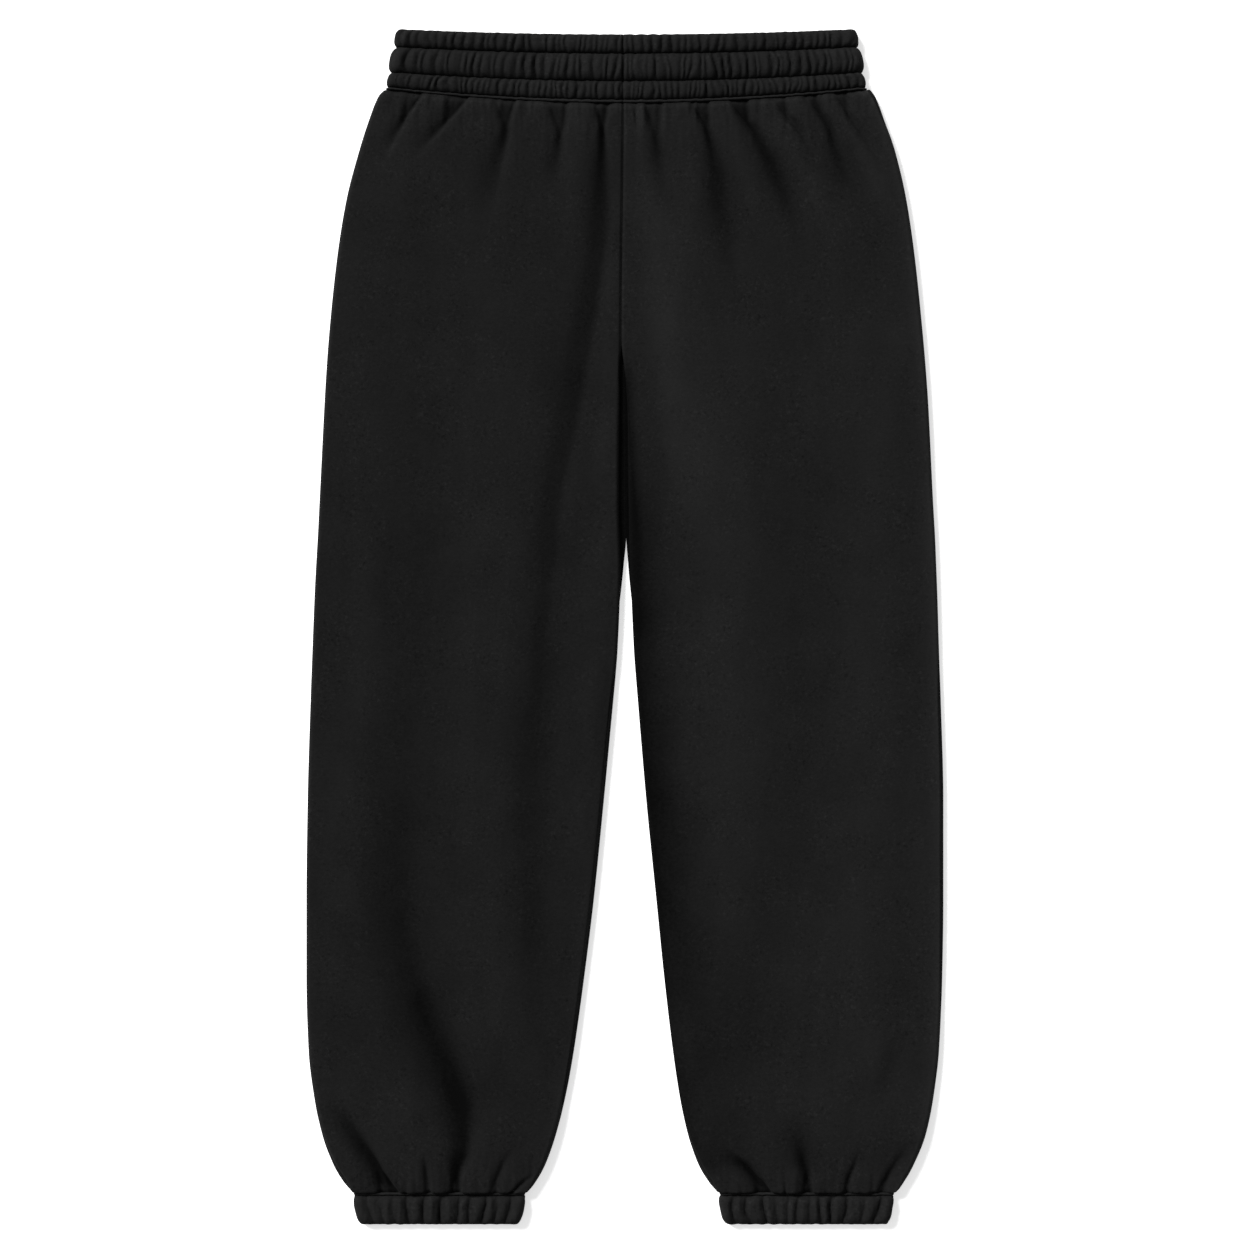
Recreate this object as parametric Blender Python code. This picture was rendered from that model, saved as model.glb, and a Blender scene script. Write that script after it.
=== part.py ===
"""Jogger sweatpants of brushed fleece, laid flat with the front up.

Run it with: blender --background --python part.py

Two front panels and two back panels meet at the rise, the inseams and the side seams. A waistband of
folded fleece over wide elastic is stitched into three puffed rows, and a cuff of folded fleece over
narrow elastic gathers each hem. +X is the wearer's left, +Y points to the waist and +Z up, with the
origin on the resting surface under the middle of the garment.

All lengths below are millimetres and angles are degrees. add_point turns them into metres.
"""

import math
from collections import namedtuple

import bmesh
import bpy

MM = 0.001

# Cloth and seams
CLOTH = 2.5  # one layer of brushed fleece
SEAM_GAP = 0.3  # between two pieces that are sewn together
LAYER_GAP = 0.45  # between the front cloth and the back cloth that it lies on
RISE_DIP = 0.8  # how far the front surface sinks at the rise seam
EDGE_RUN = 2.5  # flat strip of a panel beside a rise seam

# Waist seam: a bow that sags in the middle and fades out down the hips
WAIST_SEAM_Y = 438.0
WAIST_SEAM_RISE = 11.5  # how much higher the seam is at the sides
WAIST_SEAM_HALF = 201.0
BOW_FADE = 170.0
ANKLE_SEAM_Y = -473.0
PANEL_LENGTH = WAIST_SEAM_Y - ANKLE_SEAM_Y - 2 * SEAM_GAP

# Gathers reach their full height this far from the seam that holds them
GATHER_RISE = 9.0
GATHER_AT_SEAM = 0.4

# Outline of a leg. outer and front are the side edge and the front panel's inner edge, back is the back
# panel's inner edge, and each turn is how far the front panel goes round that edge, from its top: 90 is
# the widest point and 180 the floor. wrap is how much of the rest the back panel covers at the inner
# edge: 0 is flat on the floor, 1 meets the front panel at the inseam.
Outline = namedtuple("Outline", "y outer outer_turn front front_turn back wrap")

RIGHT_LEG = (
    Outline(451, -200.0, 95, -2.0, 0, 0.0, 0),
    Outline(444, -206.0, 95, -2.0, 0, 0.0, 0),
    Outline(424, -214.0, 95, -2.0, 0, 0.0, 0),
    Outline(399, -222.0, 95, -2.2, 0, 0.0, 0),
    Outline(357, -232.5, 95, -2.8, 0, 0.0, 0),
    Outline(307, -240.5, 95, -3.6, 0, 0.0, 0),
    Outline(245, -247.0, 95, -4.2, 0, 0.0, 0),
    Outline(202, -250.0, 95, -4.6, 104, 0.0, 0),
    Outline(106, -255.0, 95, -5.8, 104, 0.0, 0),
    Outline(76, -256.5, 95, -5.6, 104, -0.2, 0),
    Outline(31, -259.0, 95, -5.2, 104, -2.4, 0.1),
    Outline(-19, -261.0, 95, -6.2, 96, -6.2, 1),
    Outline(-60, -262.5, 95, -9.6, 30, -9.6, 1),
    Outline(-145, -265.0, 95, -17.6, 15, -17.6, 1),
    Outline(-228, -266.0, 95, -26.0, 15, -26.0, 1),
    Outline(-295, -266.0, 95, -34.3, 15, -34.3, 1),
    Outline(-354, -264.2, 95, -42.6, 25, -42.6, 1),
    Outline(-395, -259.2, 90, -50.2, 50, -50.2, 1),
    Outline(-425, -252.5, 70, -57.7, 90, -57.7, 1),
    Outline(-450, -243.0, 40, -66.6, 90, -66.6, 1),
    Outline(-465, -234.0, 25, -75.0, 90, -75.0, 1),
    Outline(-473, -227.0, 25, -82.0, 90, -82.0, 1),
)

LEFT_LEG = (
    Outline(451, 203.5, 25, -2.0, 0, 0.0, 0),
    Outline(444, 208.8, 25, -2.0, 0, 0.0, 0),
    Outline(424, 216.5, 40, -2.0, 0, 0.0, 0),
    Outline(399, 225.5, 85, -2.2, 0, 0.0, 0),
    Outline(357, 235.2, 95, -2.8, 0, 0.0, 0),
    Outline(307, 242.5, 95, -3.6, 0, 0.0, 0),
    Outline(245, 249.0, 95, -4.2, 0, 0.0, 0),
    Outline(202, 252.5, 95, 2.0, 104, 0.0, 0),
    Outline(106, 257.5, 95, 3.2, 104, 0.0, 0),
    Outline(76, 259.2, 95, 3.8, 104, 0.4, 0),
    Outline(31, 261.0, 90, 5.2, 104, 3.6, 0.1),
    Outline(-19, 262.5, 70, 7.4, 96, 7.4, 1),
    Outline(-60, 263.8, 40, 10.4, 95, 10.4, 1),
    Outline(-145, 266.0, 25, 17.6, 95, 17.6, 1),
    Outline(-228, 266.0, 25, 26.0, 95, 26.0, 1),
    Outline(-295, 265.0, 40, 32.8, 95, 32.8, 1),
    Outline(-354, 262.5, 80, 39.8, 95, 39.8, 1),
    Outline(-395, 257.5, 95, 46.0, 90, 46.0, 1),
    Outline(-425, 251.1, 95, 52.7, 70, 52.7, 1),
    Outline(-450, 241.1, 90, 61.6, 40, 61.6, 1),
    Outline(-465, 232.5, 90, 70.6, 25, 70.6, 1),
    Outline(-473, 225.5, 90, 77.5, 25, 77.5, 1),
)

# Thickness of the flattened tube, by the distance down from the waist seam. roll is the radius of the
# folded edges and crown the height of the front between them.
Body = namedtuple("Body", "down roll crown")

BODY = (
    Body(0, 4.3, 9.4),
    Body(9, 5.2, 12.4),
    Body(30, 5.4, 13.0),
    Body(70, 5.0, 11.6),
    Body(130, 4.5, 9.6),
    Body(210, 4.0, 8.2),
    Body(440, 3.8, 7.8),
    Body(740, 3.8, 7.8),
    Body(820, 4.6, 10.0),
    Body(875, 5.6, 12.6),
    Body(902, 5.2, 11.8),
    Body(911, 4.3, 9.2),
)

# Gathers, as troughs between soft lobes. Each starts at its seam (head), curves through mid and fades
# out at tail. outer and inner are its half widths towards the side seam and towards the inseam.
Trough = namedtuple("Trough", "head_x head_y mid_x mid_y tail_x tail_y depth outer inner")

RIGHT_WAIST_TROUGHS = (
    Trough(-176, 443, -188, 424, -207, 388, 6.5, 13, 7),
    Trough(-135, 441, -149, 420, -176, 372, 6.0, 13, 7),
    Trough(-95, 438, -103, 399, -120, 325, 6.0, 12, 8),
    Trough(-57, 437, -54, 407, -57, 355, 5.0, 9, 8),
    Trough(-22, 437, -24, 315, -67, 106, 6.5, 11, 8),
)
LEFT_WAIST_TROUGHS = (
    Trough(182, 447, 196, 424, 215, 385, 5.0, 8, 9),
    Trough(157, 445, 174, 407, 194, 350, 6.0, 8, 11),
    Trough(134, 443, 147, 420, 168, 380, 5.5, 8, 11),
    Trough(96, 440, 125, 382, 160, 290, 7.0, 8, 12),
    Trough(64, 438, 79, 365, 108, 265, 6.0, 9, 11),
    Trough(24, 437, 28, 390, 48, 315, 5.5, 9, 9),
)
RIGHT_ANKLE_TROUGHS = (
    Trough(-198, -472, -212, -444, -243, -385, 7.0, 13, 7),
    Trough(-166, -472, -166, -458, -168, -424, 4.5, 8, 8),
    Trough(-145, -472, -136, -390, -190, -150, 6.0, 11, 11),
    Trough(-116, -472, -111, -454, -94, -414, 5.0, 7, 11),
    Trough(-99, -472, -91, -464, -79, -452, 3.5, 6, 7),
)
LEFT_ANKLE_TROUGHS = (
    Trough(207, -471, 218, -448, 232, -418, 5.0, 9, 8),
    Trough(184, -471, 190, -450, 204, -404, 5.0, 9, 8),
    Trough(151, -471, 152, -446, 142, -400, 6.0, 9, 9),
    Trough(131, -472, 131, -466, 131, -452, 2.5, 6, 6),
    Trough(113, -472, 106, -457, 85, -425, 6.5, 7, 12),
)

Leg = namedtuple("Leg", "side outline waist_troughs ankle_troughs")
# side is the direction from the side seam to the rise
LEGS = {
    "right": Leg(1, RIGHT_LEG, RIGHT_WAIST_TROUGHS, RIGHT_ANKLE_TROUGHS),
    "left": Leg(-1, LEFT_LEG, LEFT_WAIST_TROUGHS, LEFT_ANKLE_TROUGHS),
}

# Elastic bands. A ring is a closed line round the band: y at its middle and at its ends, half width,
# heights of its top and underside, number of gathered lobes across the front and how deep the pinch
# between two lobes is.
Ring = namedtuple("Ring", "y y_end half top under lobes pinch")

BAND_RINGS = (
    Ring(495.4, 500.0, 191.5, 10.2, 0.9, 45, 0.6),
    Ring(493.2, 497.6, 193.5, 12.0, 0.0, 45, 2.4),
    Ring(482.5, 488.0, 193.5, 12.0, 0.0, 45, 2.6),
    Ring(479.5, 485.0, 192.7, 9.2, 0.0, 45, 0.7),
    Ring(476.6, 482.0, 195.5, 12.0, 0.0, 45, 2.3),
    Ring(468.0, 473.5, 197.6, 12.8, 0.0, 45, 2.8),
    Ring(459.2, 466.0, 197.2, 12.0, 0.0, 45, 2.3),
    Ring(456.4, 463.6, 196.6, 9.2, 0.0, 60, 0.7),
    Ring(453.4, 461.4, 198.6, 11.8, 0.0, 60, 2.1),
    Ring(444.4, 453.4, 199.8, 11.8, 0.0, 60, 2.1),
    Ring(441.4, 451.0, 200.2, 9.6, 0.0, 60, 0.6),
    Ring(439.6, 450.2, 201.0, 11.0, 0.0, 60, 0.0),
    Ring(438.0, 449.5, 201.0, 9.8, 0.0, 60, 0.0),
)
CUFF_TOP = ANKLE_SEAM_Y
CUFF_HEM = -500.0
CUFF_HALF = 71.8


def cuff_rings(lobes):
    """Rings of a cuff, from the ankle seam to the hem, with that many lobes."""
    return (
        Ring(CUFF_TOP, CUFF_TOP, CUFF_HALF - 1.0, 8.6, 0.0, lobes, 0.8),
        Ring(CUFF_TOP - 2.2, CUFF_TOP - 2.2, CUFF_HALF, 10.8, 0.0, lobes, 2.2),
        Ring(CUFF_TOP - 12, CUFF_TOP - 12, CUFF_HALF - 0.6, 11.4, 0.0, lobes, 2.8),
        Ring(CUFF_HEM + 4.6, CUFF_HEM + 4.6, CUFF_HALF - 2.2, 10.8, 0.0, lobes, 2.2),
        Ring(CUFF_HEM, CUFF_HEM, CUFF_HALF - 6.0, 8.4, 1.0, lobes, 1.0),
    )


Band = namedtuple("Band", "centre_x rings wall columns under_columns")
BANDS = {
    "waistband": Band(1.4, BAND_RINGS, 6.0, 180, 20),
    "cuff_right": Band(-155.0, cuff_rings(12), 5.0, 48, 10),
    "cuff_left": Band(151.8, cuff_rings(14), 5.0, 56, 10),
}
SLIT = 0.4  # between a band's front wall and its back wall
SLIT_COLUMNS = 12
SLIT_INSET = 1.0  # how much further than its wall a band is closed at its sides
LOBE_UNEVENNESS = 0.3  # how much the widths of neighbouring lobes differ
GOLDEN_ANGLE = math.pi * (3 - math.sqrt(5))  # steps that never fall into a pattern

# Where a panel has its rows, as distances down from the waist seam, and how many columns it has between
# the arcs round its edges
ROWS = (0, 4, 10, 20, 36, 60, 92, 135, 178, 193, 207, 221, 236, 300, 362, 385, 407, 430, 457, 500, 590,
        666, 733, 790, 826, 854, 878, 894, 905, PANEL_LENGTH)
FRONT_COLUMNS = 25
BACK_COLUMNS = 6
ARC_COLUMNS = 3
ARC_SHARE = 0.06  # share of a panel's width coordinate that goes round each edge
EDGE_SOFTNESS = 8  # the power of the curve by which the crown runs out to the edges
LEAST_COLUMN = 0.008  # columns nearer than this share of the width are merged
# Down the leg the columns change over from the waist's gathers to the ankle's
CHANGE_START = 160.0
CHANGE_RUN = 520.0


def smooth(value):
    """0 to 1 as value goes from 0 to 1, level at both ends."""
    held = min(1.0, max(0.0, value))
    return held * held * (3 - 2 * held)


def mix(first, second, share):
    return first + (second - first) * share


def between(rows, key, value):
    """A row of a table at value of its key column, by smooth curves that never overshoot."""
    names = rows[0]._fields
    ordered = rows if getattr(rows[0], key) < getattr(rows[-1], key) else rows[::-1]
    places = [getattr(row, key) for row in ordered]
    held = min(places[-1], max(places[0], value))
    index = max(i for i in range(len(places) - 1) if places[i] <= held)
    found = []
    for name in names:
        column = [getattr(row, name) for row in ordered]
        steps = [
            (column[i + 1] - column[i]) / (places[i + 1] - places[i]) for i in range(len(places) - 1)
        ]

        def slope(i):
            if i == 0 or i == len(steps):
                return steps[min(i, len(steps) - 1)]
            before, after = steps[i - 1], steps[i]
            return 2 * before * after / (before + after) if before * after > 0 else 0.0

        gap = places[index + 1] - places[index]
        s = (held - places[index]) / gap
        found.append(
            (1 + 2 * s) * (1 - s) ** 2 * column[index]
            + s * (1 - s) ** 2 * gap * slope(index)
            + s * s * (3 - 2 * s) * column[index + 1]
            - s * s * (1 - s) * gap * slope(index + 1)
        )
    return type(rows[0])(*found)


def waist_bow(x):
    """How much higher the waist seam is at x than in the middle."""
    return WAIST_SEAM_RISE * ((x - BANDS["waistband"].centre_x) / WAIST_SEAM_HALF) ** 2


def row_level(down, x):
    """y at x of the row of points this far down from the waist seam."""
    bow = waist_bow(x) * (1 - smooth(down / BOW_FADE))
    return WAIST_SEAM_Y - SEAM_GAP - down + bow


def trough_x(trough, y):
    """The line of a trough: the parabola through its head, mid and tail."""
    a, b, c = trough.head_y, trough.mid_y, trough.tail_y
    return (
        trough.head_x * (y - b) * (y - c) / ((a - b) * (a - c))
        + trough.mid_x * (y - a) * (y - c) / ((b - a) * (b - c))
        + trough.tail_x * (y - a) * (y - b) / ((c - a) * (c - b))
    )


def trough_depth(leg, trough, x, y):
    """How deep the front surface lies at (x, y) in this trough."""
    along = (y - trough.head_y) / (trough.tail_y - trough.head_y)
    if along >= 1:
        return 0.0
    along = max(0.0, along)
    held_y = mix(trough.head_y, trough.tail_y, along)
    aside = (x - trough_x(trough, held_y)) * leg.side
    width = trough.inner if aside > 0 else trough.outer
    if abs(aside) >= width:
        return 0.0
    return trough.depth * (1 - along**2) ** 2 * (0.5 + 0.5 * math.cos(math.pi * aside / width))


def at_seam(down):
    """How far the gathers have risen at this distance from the nearer seam."""
    near = min(down, PANEL_LENGTH - down)
    return mix(GATHER_AT_SEAM, 1.0, smooth(near / GATHER_RISE))


def relief(leg, x, y, down):
    """How deep the front surface lies below its crown at (x, y)."""
    troughs = leg.waist_troughs + leg.ankle_troughs
    return at_seam(down) * max(trough_depth(leg, trough, x, y) for trough in troughs)


def seam_shift(share, along_x, along_z):
    """Moves a panel's last points back from a seam by half of the gap, along the cloth."""
    back = SEAM_GAP / 2 if share >= 1 else 0.0
    return -back * along_x, -back * along_z


def front_section(leg, u, y, down):
    """(x, z, normal x, normal z) of the front surface at width coordinate u, 0 at the side seam."""
    row = between(leg.outline, "y", y)
    body = between(BODY, "down", down)
    roll, side = body.roll, leg.side
    turned = max(math.sin(math.radians(min(row.front_turn, 90))), row.wrap)
    run = EDGE_RUN * (1 - turned)
    outer_x = row.outer + side * roll
    inner_x = row.front - side * roll * turned
    inner_z = mix(body.crown - RISE_DIP - roll, roll, turned)
    if u <= ARC_SHARE:
        share = 1 - u / ARC_SHARE
        angle = math.radians(row.outer_turn * share)
        sine, cosine = math.sin(angle), math.cos(angle)
        shift_x, shift_z = seam_shift(share, -side * cosine, -sine)
        return (
            outer_x - side * roll * sine + shift_x,
            roll + roll * cosine + shift_z,
            -side * sine,
            cosine,
        )
    if u >= 1 - ARC_SHARE:
        share = (u - 1 + ARC_SHARE) / ARC_SHARE
        angle = math.radians(row.front_turn * share)
        sine, cosine = math.sin(angle), math.cos(angle)
        shift_x, shift_z = seam_shift(share, side * cosine, -sine)
        return (
            inner_x + side * (roll * sine - run * (1 - share)) + shift_x,
            inner_z + roll * cosine + shift_z,
            side * sine,
            cosine,
        )
    f = (u - ARC_SHARE) / (1 - 2 * ARC_SHARE)
    x = mix(outer_x, inner_x - side * run, f)
    fall_outer = (2 * roll - body.crown) * (1 - f) ** EDGE_SOFTNESS
    fall_inner = (inner_z + roll - body.crown) * f**EDGE_SOFTNESS
    return x, body.crown + fall_outer + fall_inner, 0.0, 1.0


def front_point(leg, u, down, depth):
    """A point of a front panel, depth millimetres below its face."""
    level = row_level(down, 0.0)
    for _ in range(3):
        x, z, normal_x, normal_z = front_section(leg, u, level, down)
        level = row_level(down, x)
    room = max(0.0, z - 2 * CLOTH - LAYER_GAP)
    sunk = min(relief(leg, x, level, down), room) * max(0.0, normal_z) ** 2
    inside_x = x - normal_x * (sunk + depth)
    return inside_x, row_level(down, inside_x), z - normal_z * (sunk + depth)


def back_section(leg, u, y, down):
    """(x, z, normal x, normal z) of the back surface, which lies flat and turns up at its edges."""
    row = between(leg.outline, "y", y)
    roll, side = between(BODY, "down", down).roll, leg.side
    front_turned = max(math.sin(math.radians(min(row.front_turn, 90))), row.wrap)
    inner_turn = row.wrap * (180 - row.front_turn)
    turned = math.sin(math.radians(min(inner_turn, 90)))
    run = EDGE_RUN * (1 - turned) * (1 - row.wrap)
    outer_x = row.outer + side * roll
    inner_x = mix(row.back - side * roll * turned, row.front - side * roll * front_turned, row.wrap)
    if u <= ARC_SHARE:
        share = 1 - u / ARC_SHARE
        angle = math.radians((180 - row.outer_turn) * share)
        sine, cosine = math.sin(angle), math.cos(angle)
        shift_x, shift_z = seam_shift(share, -side * cosine, sine)
        return (
            outer_x - side * roll * sine + shift_x,
            roll - roll * cosine + shift_z,
            -side * sine,
            -cosine,
        )
    if u >= 1 - ARC_SHARE:
        share = (u - 1 + ARC_SHARE) / ARC_SHARE
        angle = math.radians(inner_turn * share)
        sine, cosine = math.sin(angle), math.cos(angle)
        shift_x, shift_z = seam_shift(share, side * cosine, sine)
        return (
            inner_x + side * (roll * sine - run * (1 - share)) + shift_x,
            roll - roll * cosine + shift_z,
            side * sine,
            -cosine,
        )
    f = (u - ARC_SHARE) / (1 - 2 * ARC_SHARE)
    return mix(outer_x, inner_x - side * run, f), 0.0, 0.0, -1.0


def back_point(leg, u, down, depth):
    """A point of a back panel, depth millimetres inside its face."""
    level = row_level(down, 0.0)
    for _ in range(3):
        x, z, normal_x, normal_z = back_section(leg, u, level, down)
        level = row_level(down, x)
    inside_x = x - normal_x * depth
    return inside_x, row_level(down, inside_x), z - normal_z * depth


def add_point(bm, place):
    return bm.verts.new([value * MM for value in place])


def join_lines(bm, first, second, closed=False):
    """Four-sided faces between two lines of as many points."""
    count = len(first)
    for i in range(count if closed else count - 1):
        j = (i + 1) % count
        bm.faces.new((first[i], first[j], second[j], second[i]))


def zip_loops(bm, first, second):
    """Triangles between two closed loops of (place round the loop, point) with different counts."""
    around = 2.0
    first = first + [(first[0][0] + around, first[0][1])]
    second = second + [(second[0][0] + around, second[0][1])]
    i = j = 0
    while i + 1 < len(first) or j + 1 < len(second):
        first_is_next = j + 1 == len(second) or (i + 1 < len(first) and first[i + 1][0] <= second[j + 1][0])
        if first_is_next:
            bm.faces.new((first[i][1], first[i + 1][1], second[j][1]))
            i += 1
        else:
            bm.faces.new((first[i][1], second[j + 1][1], second[j][1]))
            j += 1


def finish_object(bm, name, material):
    bmesh.ops.recalc_face_normals(bm, faces=bm.faces)
    mesh = bpy.data.meshes.new(name)
    bm.to_mesh(mesh)
    bm.free()
    mesh.shade_smooth()
    mesh.materials.append(material)
    bpy.context.scene.collection.objects.link(bpy.data.objects.new(name, mesh))


def trough_shares(leg, troughs, down):
    """Where the troughs lie at this distance from the waist, as shares of the panel's width from the
    side seam, with 0 and 1 for the panel's own edges."""
    shares = [0.0]
    for trough in troughs:
        low, high = sorted((trough.head_y, trough.tail_y))
        level = min(high, max(low, WAIST_SEAM_Y - down))
        row = between(leg.outline, "y", level)
        shares.append((trough_x(trough, level) - row.outer) / (row.front - row.outer))
    return shares + [1.0]


def columns_at_seam(leg, troughs, down):
    """Columns on each trough's line and on its two lips where they leave their seam, with the widest
    gaps between them split until there are enough."""
    row = between(leg.outline, "y", WAIST_SEAM_Y - down)
    width = abs(row.front - row.outer)
    shares = trough_shares(leg, troughs, down)
    columns = [0.0, 1.0]
    for share, trough in zip(shares[1:], troughs):
        columns += [share - trough.outer / width, share, share + trough.inner / width]
    kept = [0.0]
    for column in sorted(columns):
        if LEAST_COLUMN < column - kept[-1] and column <= 1:
            kept.append(column)
    while len(kept) < FRONT_COLUMNS + 1:
        gaps = [kept[i + 1] - kept[i] for i in range(len(kept) - 1)]
        widest = gaps.index(max(gaps))
        kept.insert(widest + 1, (kept[widest] + kept[widest + 1]) / 2)
    return kept


def follow(column, starts, ends):
    """Where a column that starts between two troughs lies once those troughs have moved."""
    index = max(i for i in range(len(starts) - 1) if starts[i] <= column)
    share = (column - starts[index]) / (starts[index + 1] - starts[index])
    return mix(ends[index], ends[index + 1], share)


def with_arcs(middle):
    """Width coordinates of a panel's columns: these, as shares of its flat width, and the arcs."""
    arc = [ARC_SHARE * k / ARC_COLUMNS for k in range(ARC_COLUMNS)]
    flat = [mix(ARC_SHARE, 1 - ARC_SHARE, share) for share in middle]
    return arc + flat + [1 - place for place in reversed(arc)]


def front_columns(leg, down):
    """A front panel's columns at one row: they follow the gathers of the waist at the top and those
    of the ankle at the bottom."""
    followed = []
    for troughs, seam in ((leg.waist_troughs, 0), (leg.ankle_troughs, PANEL_LENGTH)):
        starts = trough_shares(leg, troughs, seam)
        now = trough_shares(leg, troughs, down)
        followed.append([follow(c, starts, now) for c in columns_at_seam(leg, troughs, seam)])
    change = smooth((down - CHANGE_START) / CHANGE_RUN)
    return with_arcs([mix(waist, ankle, change) for waist, ankle in zip(*followed)])


def back_columns():
    return with_arcs([k / BACK_COLUMNS for k in range(BACK_COLUMNS + 1)])


def build_wall(name, material, rows, columns_of, point_of):
    """A sheet of cloth between its face and a second surface one cloth thickness inside."""
    bm = bmesh.new()
    faces, insides = [], []
    for down in rows:
        columns = columns_of(down)
        faces.append([add_point(bm, point_of(u, down, 0.0)) for u in columns])
        insides.append([add_point(bm, point_of(u, down, CLOTH)) for u in columns])
    for i in range(len(rows) - 1):
        join_lines(bm, faces[i], faces[i + 1])
        join_lines(bm, insides[i], insides[i + 1])
        for k in (0, -1):
            bm.faces.new((faces[i][k], faces[i + 1][k], insides[i + 1][k], insides[i][k]))
    join_lines(bm, faces[0], insides[0])
    join_lines(bm, faces[-1], insides[-1])
    finish_object(bm, name, material)


def build_front(side, material):
    leg = LEGS[side]
    build_wall(
        f"front_{side}",
        material,
        ROWS,
        lambda down: front_columns(leg, down),
        lambda u, down, depth: front_point(leg, u, down, depth),
    )


def build_back(side, material):
    leg = LEGS[side]
    build_wall(
        f"back_{side}",
        material,
        ROWS,
        lambda down: back_columns(),
        lambda u, down, depth: back_point(leg, u, down, depth),
    )


def lobe_places(count, columns):
    """Places across a band for its columns: the lobes are unevenly wide and have as many columns each."""
    widths = [1 + LOBE_UNEVENNESS * math.sin(GOLDEN_ANGLE * k + count) for k in range(count)]
    each = columns // count
    places, start = [], 0.0
    for width in widths:
        places += [(start + width * k / each) / sum(widths) for k in range(each)]
        start += width
    return places + [1.0]


def ring_section(ring, share):
    """(x, z, normal x, normal z) on the front half of a band's ring, from one side fold to the other."""
    radius = ring.top / 2
    straight = 2 * (ring.half - radius)
    quarter = math.pi * radius / 2
    along = share * (straight + 2 * quarter)
    if along < quarter:
        angle = along / radius
        return (
            -ring.half + radius - radius * math.cos(angle),
            radius + radius * math.sin(angle),
            -math.cos(angle),
            math.sin(angle),
        )
    if along > quarter + straight:
        angle = (along - quarter - straight) / radius
        return (
            ring.half - radius + radius * math.sin(angle),
            radius + radius * math.cos(angle),
            math.sin(angle),
            math.cos(angle),
        )
    return -ring.half + radius + along - quarter, ring.top, 0.0, 1.0


def band_point(bm, band, ring, x, z, sense):
    """(place round the loop, point) on a band's ring. The place runs from 0 to 1 over the front, where
    sense is 1, and from 1 to 2 back underneath."""
    share = (x / ring.half + 1) / 2
    y = mix(ring.y, ring.y_end, (x / ring.half) ** 2)
    return share if sense > 0 else 2 - share, add_point(bm, (band.centre_x + x, y, z))


def ring_points(bm, band, ring, shares):
    """One closed loop round a band: the gathered front from the right fold to the left one, then the
    flat underside back. Each point comes with its place round the loop, as loop_place gives it."""
    loop = []
    each = band.columns // ring.lobes
    for k, share in enumerate(shares):
        x, z, normal_x, normal_z = ring_section(ring, share)
        lobe = math.sin(math.pi * (k % each) / each)
        sunk = ring.pinch * (1 - lobe) * smooth(2 * normal_z)
        loop.append(band_point(bm, band, ring, x - normal_x * sunk, z - normal_z * sunk, 1))
    radius = ring.top / 2
    flat_half = ring.half - radius
    turns = [math.pi / 2 * k / ARC_COLUMNS for k in range(1, ARC_COLUMNS)]
    corner = [(radius * math.cos(turn), mix(radius, ring.under, math.sin(turn))) for turn in turns]
    for out, z in corner:
        loop.append(band_point(bm, band, ring, flat_half + out, z, -1))
    for k in range(band.under_columns + 1):
        x = mix(flat_half, -flat_half, k / band.under_columns)
        loop.append(band_point(bm, band, ring, x, ring.under, -1))
    for out, z in reversed(corner):
        loop.append(band_point(bm, band, ring, -flat_half - out, z, -1))
    return loop


def slit_points(bm, band, ring):
    """The closed loop of the thin hollow between a band's front wall and its back wall."""
    half = ring.half - band.wall - SLIT_INSET
    loop = []
    for sense, level in ((1, band.wall + SLIT), (-1, band.wall)):
        for k in range(SLIT_COLUMNS + 1):
            x = sense * mix(-half, half, k / SLIT_COLUMNS)
            loop.append(band_point(bm, band, ring, x, level, sense))
    return loop


def build_band(name, material):
    """A flattened tube of folded cloth over elastic, gathered into lobes on its front."""
    band = BANDS[name]
    bm = bmesh.new()
    loops = [ring_points(bm, band, ring, lobe_places(ring.lobes, band.columns)) for ring in band.rings]
    slit = [slit_points(bm, band, ring) for ring in (band.rings[0], band.rings[-1])]
    for first, second in list(zip(loops, loops[1:])) + [slit]:
        join_lines(bm, [point for _, point in first], [point for _, point in second], closed=True)
    zip_loops(bm, loops[0], slit[0])
    zip_loops(bm, loops[-1], slit[1])
    finish_object(bm, name, material)


def fleece(name, shade):
    """Washed black fleece: matt, with no metal."""
    material = bpy.data.materials.new(name)
    material.use_nodes = True
    surface = material.node_tree.nodes["Principled BSDF"]
    surface.inputs["Base Color"].default_value = (shade, shade, shade * 0.98, 1.0)
    surface.inputs["Roughness"].default_value = 0.92
    surface.inputs["Metallic"].default_value = 0.0
    return material


def main():
    for old in list(bpy.data.objects):
        bpy.data.objects.remove(old)
    panel_cloth = fleece("panel_fleece", 0.0125)
    band_cloth = fleece("band_fleece", 0.0145)
    for side in LEGS:
        build_front(side, panel_cloth)
        build_back(side, panel_cloth)
    for name in BANDS:
        build_band(name, band_cloth)


main()
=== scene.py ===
"""Looks of the jogger sweatpants: washed black fleece, laid flat with the front up.

Each cloth piece is a grid shaped by the functions below, which follow the pattern pieces of the frame:
a flattened leg tube of two panels, a shirred waistband and two cuffs. Shapes are worked out in
millimetres and go into the meshes in metres. +X is the wearer's left, +Y the waist and +Z up.
"""

import math
import random
from collections import namedtuple

import bmesh
import bpy
import numpy as np
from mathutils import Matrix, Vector, noise

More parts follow.
